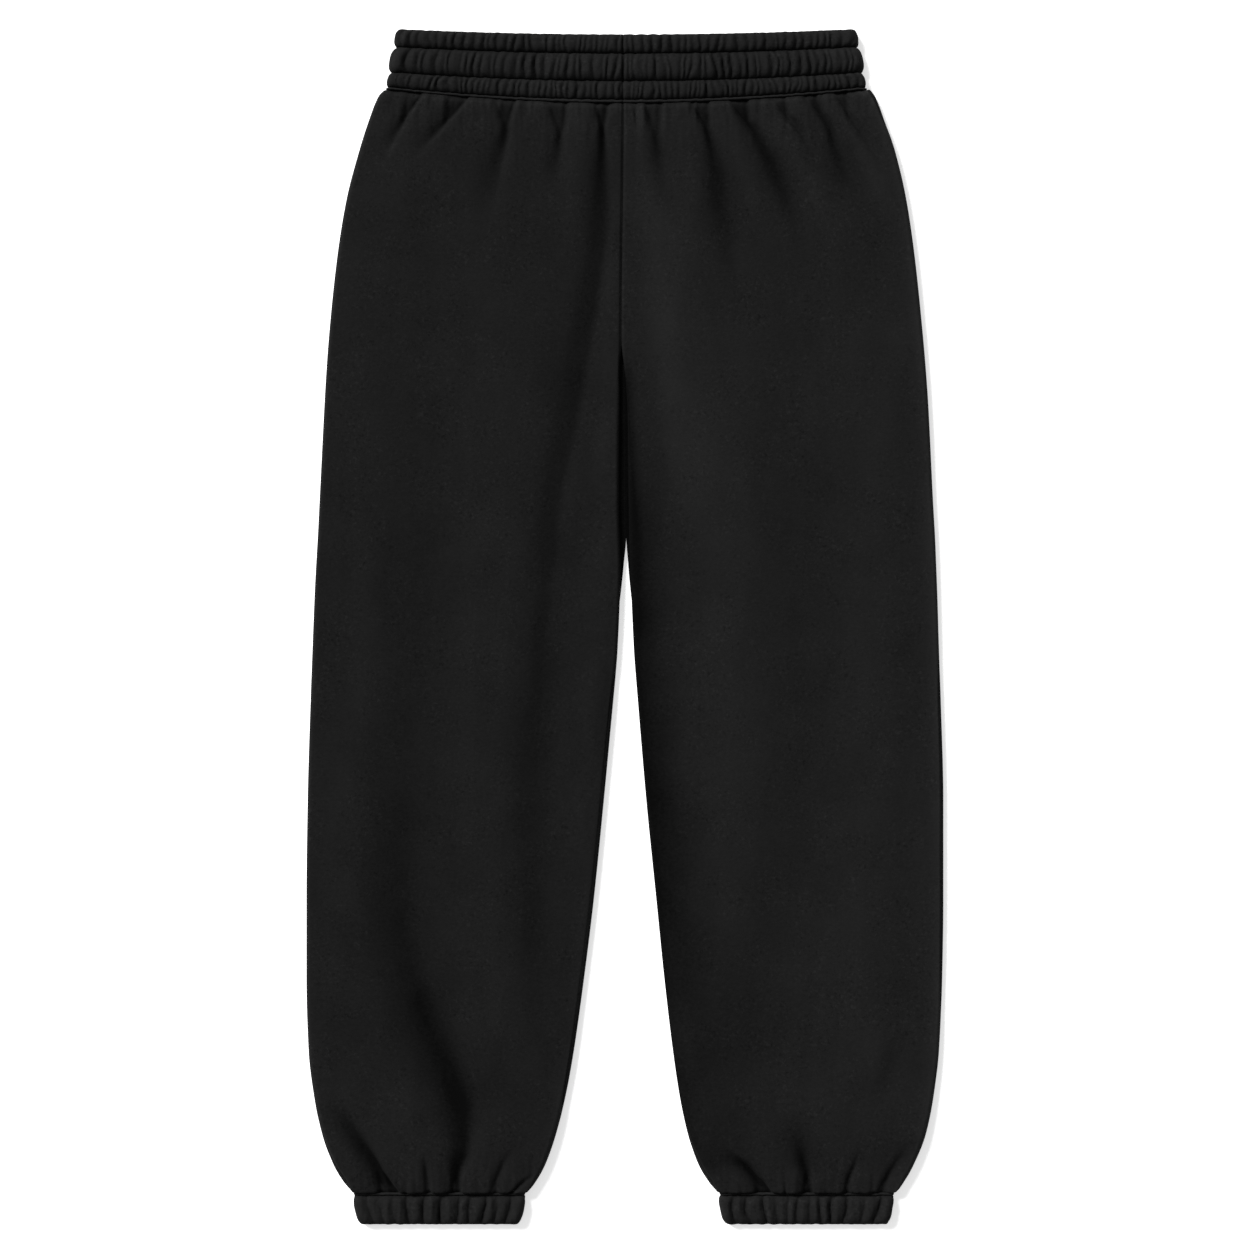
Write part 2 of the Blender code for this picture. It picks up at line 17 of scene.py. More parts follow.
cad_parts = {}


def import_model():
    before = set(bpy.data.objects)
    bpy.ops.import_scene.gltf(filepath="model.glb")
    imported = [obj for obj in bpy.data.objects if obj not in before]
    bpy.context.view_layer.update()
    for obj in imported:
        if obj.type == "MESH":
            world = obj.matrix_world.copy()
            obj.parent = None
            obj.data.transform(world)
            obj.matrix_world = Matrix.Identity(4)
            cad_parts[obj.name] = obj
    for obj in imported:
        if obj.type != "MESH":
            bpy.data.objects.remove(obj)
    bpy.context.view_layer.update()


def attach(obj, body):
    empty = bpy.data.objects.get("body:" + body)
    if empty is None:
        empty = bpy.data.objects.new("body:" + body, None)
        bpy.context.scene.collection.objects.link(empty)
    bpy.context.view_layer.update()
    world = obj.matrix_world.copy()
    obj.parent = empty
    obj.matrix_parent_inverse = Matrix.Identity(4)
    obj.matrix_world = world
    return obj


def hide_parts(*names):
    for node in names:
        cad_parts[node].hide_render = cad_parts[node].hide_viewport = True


MM = 0.001

# Cloth and seams
CLOTH = 2.5  # one layer of brushed fleece
SEAM_GAP = 0.3  # between two pieces that are sewn together
LAYER_GAP = 0.45  # between the front cloth and the back cloth that it lies on
LEAST_ROOM = 0.1  # for the front cloth above that gap
RISE_DIP = 0.5  # how far the front sinks at the rise seam
EDGE_RUN = 2.5  # flat strip of a panel beside a rise seam
RISE_ROLL = 1.1  # how far a panel's face rolls down into the rise seam
EDGE_ROLL = 0.7  # the same at an inseam or side seam
SIDE_ROLL = 0.25  # and where that seam lies right at the side
END_ROLL = 1.0  # and at a waist or ankle seam
BACK_ROLL = 0.6  # share of it on the back
SEAM_ROLL_REACH = 1.5  # how far from its seam the face rolls down

# Waist seam: a bow that sags in the middle and fades out down the hips
WAIST_SEAM_X = 1.4  # its middle
WAIST_SEAM_Y = 438.0
WAIST_SEAM_RISE = 11.5  # how much higher the seam is at the sides
WAIST_SEAM_HALF = 201.0
BOW_FADE = 170.0
ANKLE_SEAM_Y = -473.0
PANEL_LENGTH = WAIST_SEAM_Y - ANKLE_SEAM_Y - 2 * SEAM_GAP

# A leg laid flat. outer and front are the side edge and the front panel's inner edge, back is the back
# panel's inner edge. A turn is how far the front panel goes round that edge, from its top, in degrees:
# 90 is the widest point. wrap is 0 where the back panel's inner edge lies flat, 1 where it turns up to
# meet the front panel at the inseam.
Outline = namedtuple("Outline", "y outer outer_turn front front_turn back wrap")

RIGHT_LEG = (
    Outline(451, -200.4, 95, -1.4, 0, 0.0, 0),
    Outline(444, -206.4, 95, -1.4, 0, 0.0, 0),
    Outline(424, -214.4, 95, -1.4, 0, 0.0, 0),
    Outline(399, -222.4, 95, -1.6, 0, 0.0, 0),
    Outline(357, -233.4, 95, -2.1, 0, 0.0, 0),
    Outline(307, -241.4, 95, -2.8, 0, 0.0, 0),
    Outline(240, -248.3, 95, -3.2, 0, 0.3, 0),
    Outline(218, -249.9, 95, -3.7, 45, 0.3, 0),
    Outline(192, -251.5, 95, -4.2, 104, 0.3, 0),
    Outline(106, -255.9, 95, -4.9, 104, 0.9, 0),
    Outline(76, -257.4, 95, -4.2, 104, 1.2, 0),
    Outline(52, -258.8, 95, -3.4, 104, -0.9, 0),
    Outline(31, -259.9, 95, -3.8, 104, -2.5, 0.1),
    Outline(-19, -261.9, 95, -6.0, 96, -6.0, 1),
    Outline(-60, -263.4, 95, -9.6, 30, -9.6, 1),
    Outline(-145, -265.9, 95, -17.6, 15, -17.6, 1),
    Outline(-228, -266.9, 95, -26.0, 15, -26.0, 1),
    Outline(-295, -266.9, 95, -34.3, 15, -34.3, 1),
    Outline(-354, -265.1, 95, -42.6, 25, -42.6, 1),
    Outline(-395, -260.1, 90, -50.2, 50, -50.2, 1),
    Outline(-425, -253.4, 70, -57.7, 90, -57.7, 1),
    Outline(-450, -243.9, 40, -66.6, 90, -66.6, 1),
    Outline(-465, -234.9, 25, -75.0, 90, -75.0, 1),
    Outline(-473, -227.9, 25, -82.0, 90, -82.0, 1),
)

LEFT_LEG = (
    Outline(451, 204.0, 25, -1.4, 0, 0.0, 0),
    Outline(444, 209.3, 25, -1.4, 0, 0.0, 0),
    Outline(424, 217.0, 40, -1.4, 0, 0.0, 0),
    Outline(399, 226.0, 85, -1.6, 0, 0.0, 0),
    Outline(357, 235.8, 95, -2.1, 0, 0.0, 0),
    Outline(307, 243.1, 95, -2.8, 0, 0.0, 0),
    Outline(240, 250.0, 95, -3.2, 0, -0.3, 0),
    Outline(218, 251.9, 95, -1.6, 50, -0.3, 0),
    Outline(192, 253.8, 95, 1.4, 104, -0.3, 0),
    Outline(160, 255.5, 95, 2.6, 104, -0.3, 0),
    Outline(106, 258.1, 95, 3.2, 104, 0.3, 0),
    Outline(76, 259.8, 95, 3.5, 104, 0.8, 0),
    Outline(52, 260.8, 93, 4.0, 104, 2.6, 0),
    Outline(31, 261.6, 90, 4.8, 104, 3.9, 0.1),
    Outline(-19, 263.1, 70, 7.2, 96, 7.2, 1),
    Outline(-60, 264.4, 40, 10.4, 95, 10.4, 1),
    Outline(-145, 266.6, 25, 17.6, 95, 17.6, 1),
    Outline(-228, 266.6, 25, 26.0, 95, 26.0, 1),
    Outline(-295, 265.6, 40, 32.8, 95, 32.8, 1),
    Outline(-354, 263.1, 80, 39.8, 95, 39.8, 1),
    Outline(-395, 258.1, 95, 46.0, 90, 46.0, 1),
    Outline(-425, 251.7, 95, 52.7, 70, 52.7, 1),
    Outline(-450, 241.7, 90, 61.6, 40, 61.6, 1),
    Outline(-465, 233.1, 90, 70.6, 25, 70.6, 1),
    Outline(-473, 226.1, 90, 77.5, 25, 77.5, 1),
)

# Thickness of the flattened tube by the distance down from the waist seam: radius of the folded edges
# and height of the front between them
Body = namedtuple("Body", "down roll crown")

BODY = (
    Body(0, 4.3, 11.2),
    Body(4, 4.8, 12.4),
    Body(12, 5.2, 13.3),
    Body(32, 5.4, 13.8),
    Body(75, 5.0, 12.4),
    Body(140, 4.5, 10.4),
    Body(220, 4.0, 9.0),
    Body(440, 3.8, 8.6),
    Body(740, 3.8, 8.8),
    Body(820, 4.6, 11.0),
    Body(875, 5.6, 13.8),
    Body(898, 5.4, 13.4),
    Body(906, 4.9, 12.0),
    Body(911, 4.3, 9.6),
)

# Creases that start in a gathered seam: the line that each one follows from its seam,
# the half width of the flat pocket between the puffs at the seam and how far down it closes, how deep
# the crease is, and the half widths of its walls towards -X and +X
Crease = namedtuple("Crease", "line pocket closes depth west east")

RIGHT_CREASES = (
    Crease(((-176, 443), (-181, 430), (-188, 416), (-197, 400), (-208, 378)), 5, 15, 4.2, 13, 5),
    Crease(((-138, 442), (-145, 428), (-154, 416), (-165, 404), (-178, 385)), 6, 18, 4.0, 13, 5),
    Crease(((-99, 439), (-99, 428), (-98, 415), (-101, 399), (-106, 378), (-110, 356), (-118, 320)),
           7, 20, 5.0, 13, 6),
    Crease(((-56, 438), (-53, 414), (-54, 400), (-57, 380), (-58, 345)), 7, 26, 4.4, 10, 9),
    Crease(((-19, 438), (-18, 417), (-17, 390), (-17, 361), (-17.5, 340), (-19.5, 318), (-23, 295),
            (-30, 250), (-39, 200), (-48, 150), (-58, 100), (-62, 50), (-67, 0), (-71, -60), (-75, -120),
            (-78, -200)),
           5, 20, 6.2, 8, 5),
    Crease(((-196, -472), (-206, -450), (-224, -422), (-242, -385)), 5, 18, 9.5, 16, 5),
    Crease(((-164, -472), (-165, -460), (-168, -436)), 1, 5, 3.6, 9, 9),
    Crease(((-141, -472), (-139, -455), (-134, -438), (-136, -405), (-147, -375), (-159, -350), (-169, -325),
            (-177, -300), (-187, -250), (-189, -200), (-188, -150), (-184, -90)),
           2, 10, 8.0, 18, 11),
    Crease(((-110, -472), (-107, -462), (-101, -448), (-93, -434), (-86, -420)), 2, 8, 2.4, 12, 15),
    Crease(((-97, -473), (-92, -468), (-86, -464), (-78, -459)), 1, 4, 3.0, 3, 5),
)

LEFT_CREASES = (
    Crease(((8, 437), (9, 428), (11, 410)), 2, 8, 1.8, 4, 4),
    Crease(((24, 437), (27, 412), (30, 390), (33, 366), (42, 330)), 6, 26, 5.4, 11, 8),
    Crease(((63, 438), (68, 420), (72, 408), (76, 395), (79, 382), (82, 357), (87, 325), (93, 285),
            (104, 245)),
           6, 20, 7.2, 8, 8),
    Crease(((95, 440), (101, 424), (109, 413), (117, 399), (125, 382), (134, 361), (142, 338), (152, 300)),
           6, 18, 8.4, 8, 9),
    Crease(((129, 441), (135, 428), (146, 415), (152, 403), (162, 384)), 4, 14, 4.6, 8, 9),
    Crease(((155, 443), (163, 430), (172, 416), (176, 403), (181, 388), (188, 370), (203, 335)),
           4, 14, 6.4, 8, 9),
    Crease(((180, 446), (188, 427), (198, 413), (208, 398), (217, 380)), 4, 14, 5.4, 7, 8),
    Crease(((117, -472), (114, -465), (106, -455), (95, -445), (82, -435)), 4, 12, 9.5, 12, 5),
    Crease(((133, -472), (134, -468), (133, -460)), 1, 5, 1.4, 4, 4),
    Crease(((153, -472), (153, -460), (150, -447), (147, -430), (144, -408)), 2, 10, 7.0, 14, 12),
    Crease(((185, -472), (187, -462), (191, -452), (196, -440), (201, -428)), 1, 6, 2.6, 9, 15),
    Crease(((213, -472), (218, -463), (226, -449), (234, -437), (242, -426)), 2, 8, 2.6, 12, 15),
)

# The back is gathered into the same seams, less deeply, because the trousers lie on it
BACK_CREASES = (
    Crease(((30, 438), (34, 400), (42, 350)), 3, 16, 2.6, 7, 7),
    Crease(((70, 439), (76, 405), (90, 345), (98, 300)), 4, 18, 2.8, 8, 8),
    Crease(((112, 441), (122, 408), (140, 360)), 3, 14, 2.4, 7, 7),
    Crease(((150, 444), (164, 412), (184, 370), (192, 340)), 4, 18, 2.8, 7, 6),
    Crease(((105, -473), (98, -450), (90, -415)), 3, 12, 2.6, 6, 6),
    Crease(((134, -473), (131, -440), (136, -385), (140, -330)), 3, 14, 2.8, 8, 8),
    Crease(((168, -473), (176, -446), (186, -410)), 3, 12, 2.6, 6, 6),
    Crease(((200, -473), (212, -450), (226, -424)), 3, 12, 2.4, 6, 6),
)

# Long soft folds down the legs: the line of each, its half widths towards -X and +X, its height, less
# than 0 for a hollow, and how far from either end it reaches that height
Fold = namedtuple("Fold", "line west east height start end")

RIGHT_FOLDS = (
    Fold(((-228, 380), (-215, 123), (-214, 0), (-222, -180), (-212, -270), (-196, -325), (-178, -380),
          (-172, -425)),
         26, 26, 1.4, 260, 50),
    Fold(((-118, 330), (-100, 150), (-110, 0), (-118, -120), (-112, -212), (-102, -320), (-98, -400)),
         36, 30, 2.0, 160, 90),
    Fold(((-8, 200), (-14, 90), (-24, -60), (-44, -260)), 14, 12, 1.2, 60, 120),
    Fold(((-62, 40), (-70, -60), (-76, -180), (-75, -280), (-72, -360)), 14, 14, -1.2, 120, 90),
)
LEFT_FOLDS = (
    Fold(((44, 400), (52, 310), (62, 230), (76, 150), (92, 20), (96, -120), (84, -260), (78, -330)),
         34, 36, 2.0, 80, 120),
    Fold(((228, 360), (216, 180), (214, 0), (214, -140), (206, -240), (204, -330), (198, -410)),
         40, 24, 1.8, 200, 60),
    Fold(((170, 220), (158, 60), (148, -120), (128, -220), (122, -280), (110, -350), (104, -410)),
         36, 32, -1.4, 200, 60),
    Fold(((232, -330), (222, -375), (212, -410)), 10, 12, -1.6, 40, 30),
    Fold(((195, 450), (204, 440), (211, 431), (217, 421), (222, 406)), 2.2, 4.0, 1.4, 6, 16),
)

# Painted light and shade on the front, in the same columns: paler strips are painted highlight along ridges,
# puffs and edges, darker strips are painted shade along creases and the inner edge of the left leg. Here
# height is how much paler, darker below 0.
RIGHT_PAINTED_SHADING = (
    Fold(((-140, 400), (-140, 150), (-130, -150), (-120, -440)), 110, 110, -0.06, 260, 60),
    Fold(((-212, 300), (-214, 100), (-218, -60), (-214, -260), (-205, -400)), 40, 34, -0.04, 160, 80),
    Fold(((-170, 100), (-180, 0), (-184, -100), (-188, -200), (-180, -290), (-165, -340)),
         24, 24, -0.06, 100, 120),
    Fold(((-46, 200), (-56, 110), (-62, 50), (-68, -20), (-75, -150), (-76, -280), (-72, -360)),
         16, 16, -0.06, 120, 80),
    Fold(((-92, 0), (-96, -200), (-90, -380)), 26, 26, -0.03, 120, 80),
    Fold(((-38, 434), (-40, 400), (-44, 350), (-46, 300)), 7, 7, 0.07, 10, 60),
    Fold(((-10, 330), (-13, 250), (-18, 180), (-26, 100)), 8, 8, 0.06, 40, 60),
    Fold(((-26, -240), (-34, -295), (-50, -395), (-66, -450), (-80, -470)), 8, 4, 0.12, 60, 10),
    Fold(((-119, -474), (-117, -462), (-113, -448), (-110, -434)), 1.6, 1.4, 0.1, 3, 16),
    Fold(((-200, -471), (-214, -447), (-230, -420), (-244, -393)), 8, 6, -0.12, 8, 22),
    Fold(((-180, -265), (-161, -335), (-146, -375), (-137, -405), (-134, -430), (-138, -456)),
         14, 12, -0.1, 50, 16),
    Fold(((-14, -80), (-24, -180), (-34, -270)), 8, 4, 0.08, 40, 40),
)
LEFT_PAINTED_SHADING = (
    Fold(((12, 436), (16, 380), (21, 330), (26, 270), (36, 200), (50, 120), (62, 40)), 11, 20, 0.13, 8, 120),
    Fold(((46, 432), (50, 400), (57, 370), (66, 335)), 8, 8, 0.05, 10, 40),
    Fold(((26, 424), (29, 396), (33, 366), (42, 325)), 7, 7, -0.1, 14, 40),
    Fold(((116, 408), (124, 385), (134, 360), (146, 320)), 7, 7, -0.07, 14, 40),
    Fold(((84, 432), (92, 400), (102, 370), (114, 335)), 8, 8, 0.07, 10, 40),
    Fold(((118, 432), (136, 402), (152, 375), (166, 345), (180, 310)), 9, 9, 0.1, 10, 50),
    Fold(((176, 440), (190, 412), (200, 390), (212, 365), (226, 325)), 6, 9, 0.13, 8, 50),
    Fold(((-2, 240), (0, 192), (3, 106), (5, 31), (8, -40)), 14, 8, -0.26, 34, 110),
    Fold(((0, 200), (3, 100), (5, 30), (9, -50), (17.6, -145), (26, -228), (33, -295), (40, -354)),
         20, 26, -0.36, 170, 290),
    Fold(((9, -50), (26, -228), (40, -354), (53, -425), (68, -462)), 20, 44, -0.2, 190, 16),
    Fold(((116, -472), (109, -459), (100, -448), (90, -440)), 7, 5, -0.16, 4, 8),
    Fold(((152, -458), (148, -438), (144, -418), (141, -396)), 13, 13, -0.09, 14, 20),
    Fold(((182, -474), (183, -464), (186, -452)), 1.4, 1.2, 0.08, 3, 10),
    Fold(((205, -474), (210, -462), (217, -448), (229, -431)), 1.6, 1.4, 0.11, 3, 16),
    Fold(((216, -468), (224, -452), (234, -436), (243, -424)), 7, 9, -0.06, 6, 8),
)

# side is the direction from the side seam to the rise. The folded side gets a painted highlight of this
# leg's rim strength, fading out over rim_reach, and the edge between the legs is painted paler or darker by
# inner,
# fading out over inner_reach: painted highlight on the right leg and painted shade on the left.
Leg = namedtuple("Leg", "side outline creases folds fades rim rim_reach inner inner_reach seed")
LEGS = {
    "right": Leg(1, RIGHT_LEG, RIGHT_CREASES, RIGHT_FOLDS, RIGHT_PAINTED_SHADING, 0.3, 1.8, 0.4, 2.4, 3),
    "left": Leg(-1, LEFT_LEG, LEFT_CREASES, LEFT_FOLDS, LEFT_PAINTED_SHADING, 0.6, 6.0, -0.3, 2.2, 8),
}

# Turns between which an edge seam goes from lying on top to lying at the side, from showing to hidden
# there, and from covered to open between the legs
SIDE_TURN = (50, 85)
HIDDEN_TURN = (55, 85)
OPEN_TURN = (20, 80)

# Columns and rows of the panels' grids, and how much closer the rows are at both seams
FRONT_GRID = (236, 204)
BACK_GRID = (84, 230)
ROW_CROWDING = 0.65
ARC_SHARE = 0.07  # share of the columns that goes round each edge
EDGE_SOFTNESS = 8  # power of the curve in which the crown falls towards its edges
LEVEL_ROUNDS = 3  # a point's x and its level hang on each other, and settle in this many rounds
SHARP_ANGLE = 60  # degrees between faces above which an edge is drawn sharp

# How a crease opens out: its share of the wall widths at the seam and in the open cloth, and how far
# from the seam that takes, its share of the depth at the seam, how far from there it is whole, and the
# share of its length past which it fades out
WALL_AT_SEAM = 0.3
WALL_IN_OPEN = 1.5
WIDEN_RUN = 110.0
DEPTH_AT_SEAM = 0.45
DEEPEN_RUN = 12
FADE_FROM = 0.15

# Where a pocket meets the puff on its +X side, the cloth tucks in under that puff: by this share of the
# crease's depth, this wide, in full from the second distance from the seam, and gone at the last
TUCK_SHARE = 0.3
TUCK_HALF = 2.0
TUCK_START = (-6, 2)
TUCK_RUN = 45.0

# Soft unevenness: its height, how long its waves are across and along, and what it adds to the seed
Wave = namedtuple("Wave", "height across along seed")
NOISE_SPAN = 1.6  # brings the noise to about -1 to 1
FRONT_SWELL = Wave(0.4, 40.0, 130.0, 0)
FRONT_DENTS = Wave(0.25, 17.0, 45.0, 2)
BACK_SWELL = Wave(0.3, 35.0, 120.0, 23)

# Fine wrinkles that run out from a gathered seam
LONG_WRINKLES = Wave(1.0, 6.0, 30.0, 0)
SHORT_WRINKLES = Wave(0.6, 3.6, 14.0, 3)
BACK_WRINKLES = Wave(0.5, 6.0, 30.0, 31)
WRINKLE_REACH = 20.0
WAIST_WRINKLE_SEED = 11
ANKLE_WRINKLE_SEED = 17
ANKLE_WRINKLES = 0.55  # share of them at the ankle
ANKLE_OVERHANG = 3.4  # how far the puffs at the ankle hang over their cuff
ANKLE_PUFF_AT = 4  # how far from their seam the puffs hang most, and half the height of a puff
ANKLE_PUFF_HALF = 4.0
OVERHANG_DEPTH = 3  # a crease this deep doesn't hang over
BACK_SHIFT = 6.0  # how far the right back's creases lie from the left back's mirror image

# How much each millimetre of hollow or ridge shades the washed colour: painted shade in a hollow, painted
# highlight on a ridge
LEVEL_WASH = 0.42  # the wash shade of level cloth
PAINTED_SHADE_PER_MM = 0.04
BACK_PAINTED_SHADE = 2  # times that on the back, whose creases are shallow
POCKET_PAINTED_SHADE = 0.6  # share of that in the pockets between puffs at the waist seam, down to this distance
POCKET_RUN = 14
SEAM_PAINTED_SHADE = 0.11  # painted shade: how much each millimetre rolled down into a seam darkens it
EDGE_WEAR = 0.16  # how much paler a panel's edge is beside a side seam or inseam that shows
RISE_WEAR = 0.03  # and beside the rise
EDGE_WEAR_AT = 1.6  # how far from that seam, and how wide
EDGE_WEAR_HALF = 1.0
SEAM_WEAR = 0.08  # how much paler the cloth is rubbed beside a waist or ankle seam, at this distance
SEAM_WEAR_AT = 3.2
SEAM_WEAR_HALF = 1.8
UNWORN_DEPTH = 4  # a crease this deep isn't rubbed there
GAP_PAINTED_SHADE = 0.4  # painted shade: how much darker the back is at its inner seam where it shows between the legs
GAP_REACH = 5.0
PINCH_HIGHLIGHT = 0.16  # painted highlight: how much paler the cloth is where the thread draws a crease into its seam
PINCH_HIGHLIGHT_AT = 4.5
PINCH_HIGHLIGHT_RUN = 3.5
PINCH_HIGHLIGHT_HALF = 1.0

# Elastic bands. A line runs round the band where the puffed rows meet: y at its middle and at its ends,
# half width, height of its top and of its underside, and how far the lobes push it to and fro. A puff
# is the row between two lines: how far it and its sides swell, the share of that left in its tightest
# grooves, how many gathered lobes it has across the front, how uneven their widths are, how square the
# puff is from line to line, and its rows in the grid.
Line = namedtuple("Line", "y y_end half top under wander")
Puff = namedtuple("Puff", "swell side_swell groove lobes uneven square rows")

WAISTBAND_LINES = (
    Line(438.0, 449.5, 200.4, 8.4, 0.5, 0.3),
    Line(440.9, 451.4, 199.4, 7.6, 0.9, 0.4),
    Line(456.6, 463.8, 196.4, 7.8, 1.6, 0.5),
    Line(479.5, 485.0, 192.4, 7.8, 1.6, 0.5),
    Line(495.6, 500.0, 190.2, 8.0, 2.8, 0.3),
)
WAISTBAND_PUFFS = (
    Puff(2.2, 1.4, 0.0, 0, 0.0, 2.1, 6),
    Puff(4.2, 2.4, 0.42, 74, 0.45, 2.6, 16),
    Puff(5.6, 4.4, 0.42, 60, 0.5, 2.6, 22),
    Puff(4.8, 3.0, 0.42, 60, 0.45, 2.6, 18),
)
RIGHT_CUFF_LINES = (
    Line(-499.8, -499.8, 65.4, 5.8, 2.4, 0.3),
    Line(-475.6, -475.6, 70.8, 6.4, 1.4, 0.4),
    Line(-472.8, -472.8, 70.9, 6.6, 0.6, 0.2),
)
LEFT_CUFF_LINES = (
    Line(-499.8, -499.8, 66.8, 5.8, 2.4, 0.3),
    Line(-475.6, -475.6, 72.0, 6.4, 1.4, 0.4),
    Line(-472.8, -472.8, 72.1, 6.6, 0.6, 0.2),
)
CUFF_BINDING = Puff(1.9, 0.9, 0.0, 0, 0.0, 2.1, 6)
RIGHT_CUFF_PUFFS = (Puff(6.2, 2.8, 0.3, 12, 0.26, 4.6, 30), CUFF_BINDING)
LEFT_CUFF_PUFFS = (Puff(6.2, 2.8, 0.3, 13, 0.26, 4.6, 30), CUFF_BINDING)

# A band's two walls are folded cloth over elastic, with a thin slit between them. The join is the seam
# that closes the ring of cloth at the centre front.
Band = namedtuple("Band", "centre_x lines puffs wall columns seed join_x join_depth")
BANDS = {
    "shirred_waistband": Band(1.2, WAISTBAND_LINES, WAISTBAND_PUFFS, 4.6, 760, 5, -2.7, 1.6),
    "right_cuff": Band(-155.3, RIGHT_CUFF_LINES, RIGHT_CUFF_PUFFS, 4.0, 300, 42, 0.0, 0.0),
    "left_cuff": Band(152.2, LEFT_CUFF_LINES, LEFT_CUFF_PUFFS, 4.0, 300, 44, 0.0, 0.0),
}
PUFF_STEEPNESS = 0.6  # power in which a puff rises from its lines, the less the steeper
JOIN_HALF = 0.9
SLIT = 0.4
SLIT_INSET = 1.0  # how far the slit ends inside the wall at the band's sides
SLIT_ROWS = 10
FRONT_SHARE = 0.66  # share of a band's columns on its front
MERGE = 0.001  # points of a band that lie this close are one

# Gathered cloth: the range of how tight its grooves are drawn and how full its lobes are, how slack a
# groove may be beside a narrow lobe, how blunt a lobe is, and the share of a plain wave in its form
GROOVE_TIGHTNESS = (0.45, 1.0)
LOBE_FULLNESS = (0.8, 1.0)
LEAST_TIGHTNESS = 0.4
LOBE_BLUNTNESS = 2.1
WAVE_SHARE = 0.45
PINCH = 0.09  # how much further in the cloth is pinched along each groove
PINCH_HALF = 0.8

# How far the grooves lean, wobble and bow on their way up a puff, and the dents in a lobe. Here a wave's
# length along is a share of the puff's height. The grooves near a band's sides bow with the puff, by
# this many times its swell there.
PUFF_SEED = 10  # from one puff of a band to the next
GROOVE_LEAN = Wave(5.0, 22.0, 1.0, 0)
GROOVE_WOBBLE = Wave(0.6, 7.0, 0.375, 4)
GROOVE_BOW = Wave(7.0, 15.0, 1.0, 5)
LOBE_DENTS = Wave(0.06, 3.2, 0.75, 7)
LINE_WANDER = Wave(1.0, 5.0, 1.0, 50)
SIDE_BOW = 3

# The shade in a band's tightest grooves, darker as painted shade, how much paler a full lobe is, partly by
# wear and partly as painted highlight, how much darker a pinch is and each millimetre of the join, as
# painted shade, how much paler a band's sides are, as painted highlight, and over what reach that fades out,
# and the painted shade inside the slit
GROOVE_PAINTED_SHADE = 0.235
LOBE_WEAR_AND_HIGHLIGHT = 0.23
PINCH_PAINTED_SHADE = 0.16
JOIN_PAINTED_SHADE = 0.07
BAND_RIM_HIGHLIGHT = 0.2
BAND_RIM_REACH = 4.0
SLIT_PAINTED_SHADE = 0.33

# The cut of each sheet of cloth that shows, in metres
WAISTBAND_CUT = (0.96, 0.064)
CUFF_CUT = (0.31, 0.031)

# How strongly the knit and the clouds of fading show, and between which levels of the lint's noise its
# pale and dark marks grow to their strength
SPECKLE = 0.12
CLOUDS = 0.115
PALE_LINT = (0.57, 0.7, 0.24)
DARK_PITS = (0.43, 0.3, -0.18)

# Floor and view, in metres. The view is this wide at the height of the cloth and a little off the middle.
FLOOR_HALF = 30.0
FLOOR_DROP = 0.0003
LENS = 100.0  # millimetres
VIEW_WIDTH = 1.0485
VIEW_X = 0.0017
CLOTH_HEIGHT = 0.008


def hex_color(text):
    """An sRGB hex value as linear RGBA."""
    channels = [int(text[i : i + 2], 16) / 255 for i in (1, 3, 5)]
    linear = [c / 12.92 if c <= 0.04045 else ((c + 0.055) / 1.055) ** 2.4 for c in channels]
    return (*linear, 1.0)


def smooth(value, first, last):
    """0 to 1 as value goes from first to last, level at both ends."""
    held = np.clip((value - first) / (last - first), 0.0, 1.0)
    return held * held * (3 - 2 * held)


def mix(first, second, share):
    """The first where share is 0, the second where it is 1."""
    return first + (second - first) * share


def bell(distance, half):
    """1 at no distance, down to about a third at this half width and to nothing beyond."""
    return np.exp(-((distance / half) ** 2))


def curve(places, values, at):
    """A smooth curve through values at places, which never overshoots them."""
    x, y = np.array(places, float), np.array(values, float)
    if x[0] > x[-1]:
        x, y = x[::-1], y[::-1]
    at = np.clip(at, x[0], x[-1])
    steps = np.diff(y) / np.diff(x)
    slopes = np.concatenate([steps[:1], np.zeros(len(x) - 2), steps[-1:]])
    if len(x) > 2:
        product = steps[:-1] * steps[1:]
        total = np.where(product > 0, steps[:-1] + steps[1:], 1.0)
        slopes[1:-1] = np.where(product > 0, 2 * product / total, 0.0)
    i = np.clip(np.searchsorted(x, at) - 1, 0, len(x) - 2)
    gap = x[i + 1] - x[i]
    s = (at - x[i]) / gap
    return (
        (1 + 2 * s) * (1 - s) ** 2 * y[i]
        + s * (1 - s) ** 2 * gap * slopes[i]
        + s * s * (3 - 2 * s) * y[i + 1]
        - s * s * (1 - s) * gap * slopes[i + 1]
    )


def table(rows, key, at):
    """A table's columns as smooth curves of its key column."""
    columns = list(zip(*rows))
    names = rows[0]._fields
    places = columns[names.index(key)]
    return type(rows[0])(*(curve(places, values, at) for values in columns))


def waviness(wave, x, y, seed):
    """Soft unevenness at (x, y), up to about this wave's height either way."""
    places = zip(x / wave.across, y / wave.along)
    return wave.height * NOISE_SPAN * np.array([noise.noise((a, b, seed + wave.seed)) for a, b in places])


def waist_bow(x):
    """How much higher the waist seam is at x than in its middle."""
    return WAIST_SEAM_RISE * ((x - WAIST_SEAM_X) / WAIST_SEAM_HALF) ** 2


def row_level(down, x):
    """y at x of the row of points this far down from the waist seam."""
    return WAIST_SEAM_Y - SEAM_GAP - down + waist_bow(x) * (1 - smooth(down, 0, BOW_FADE))


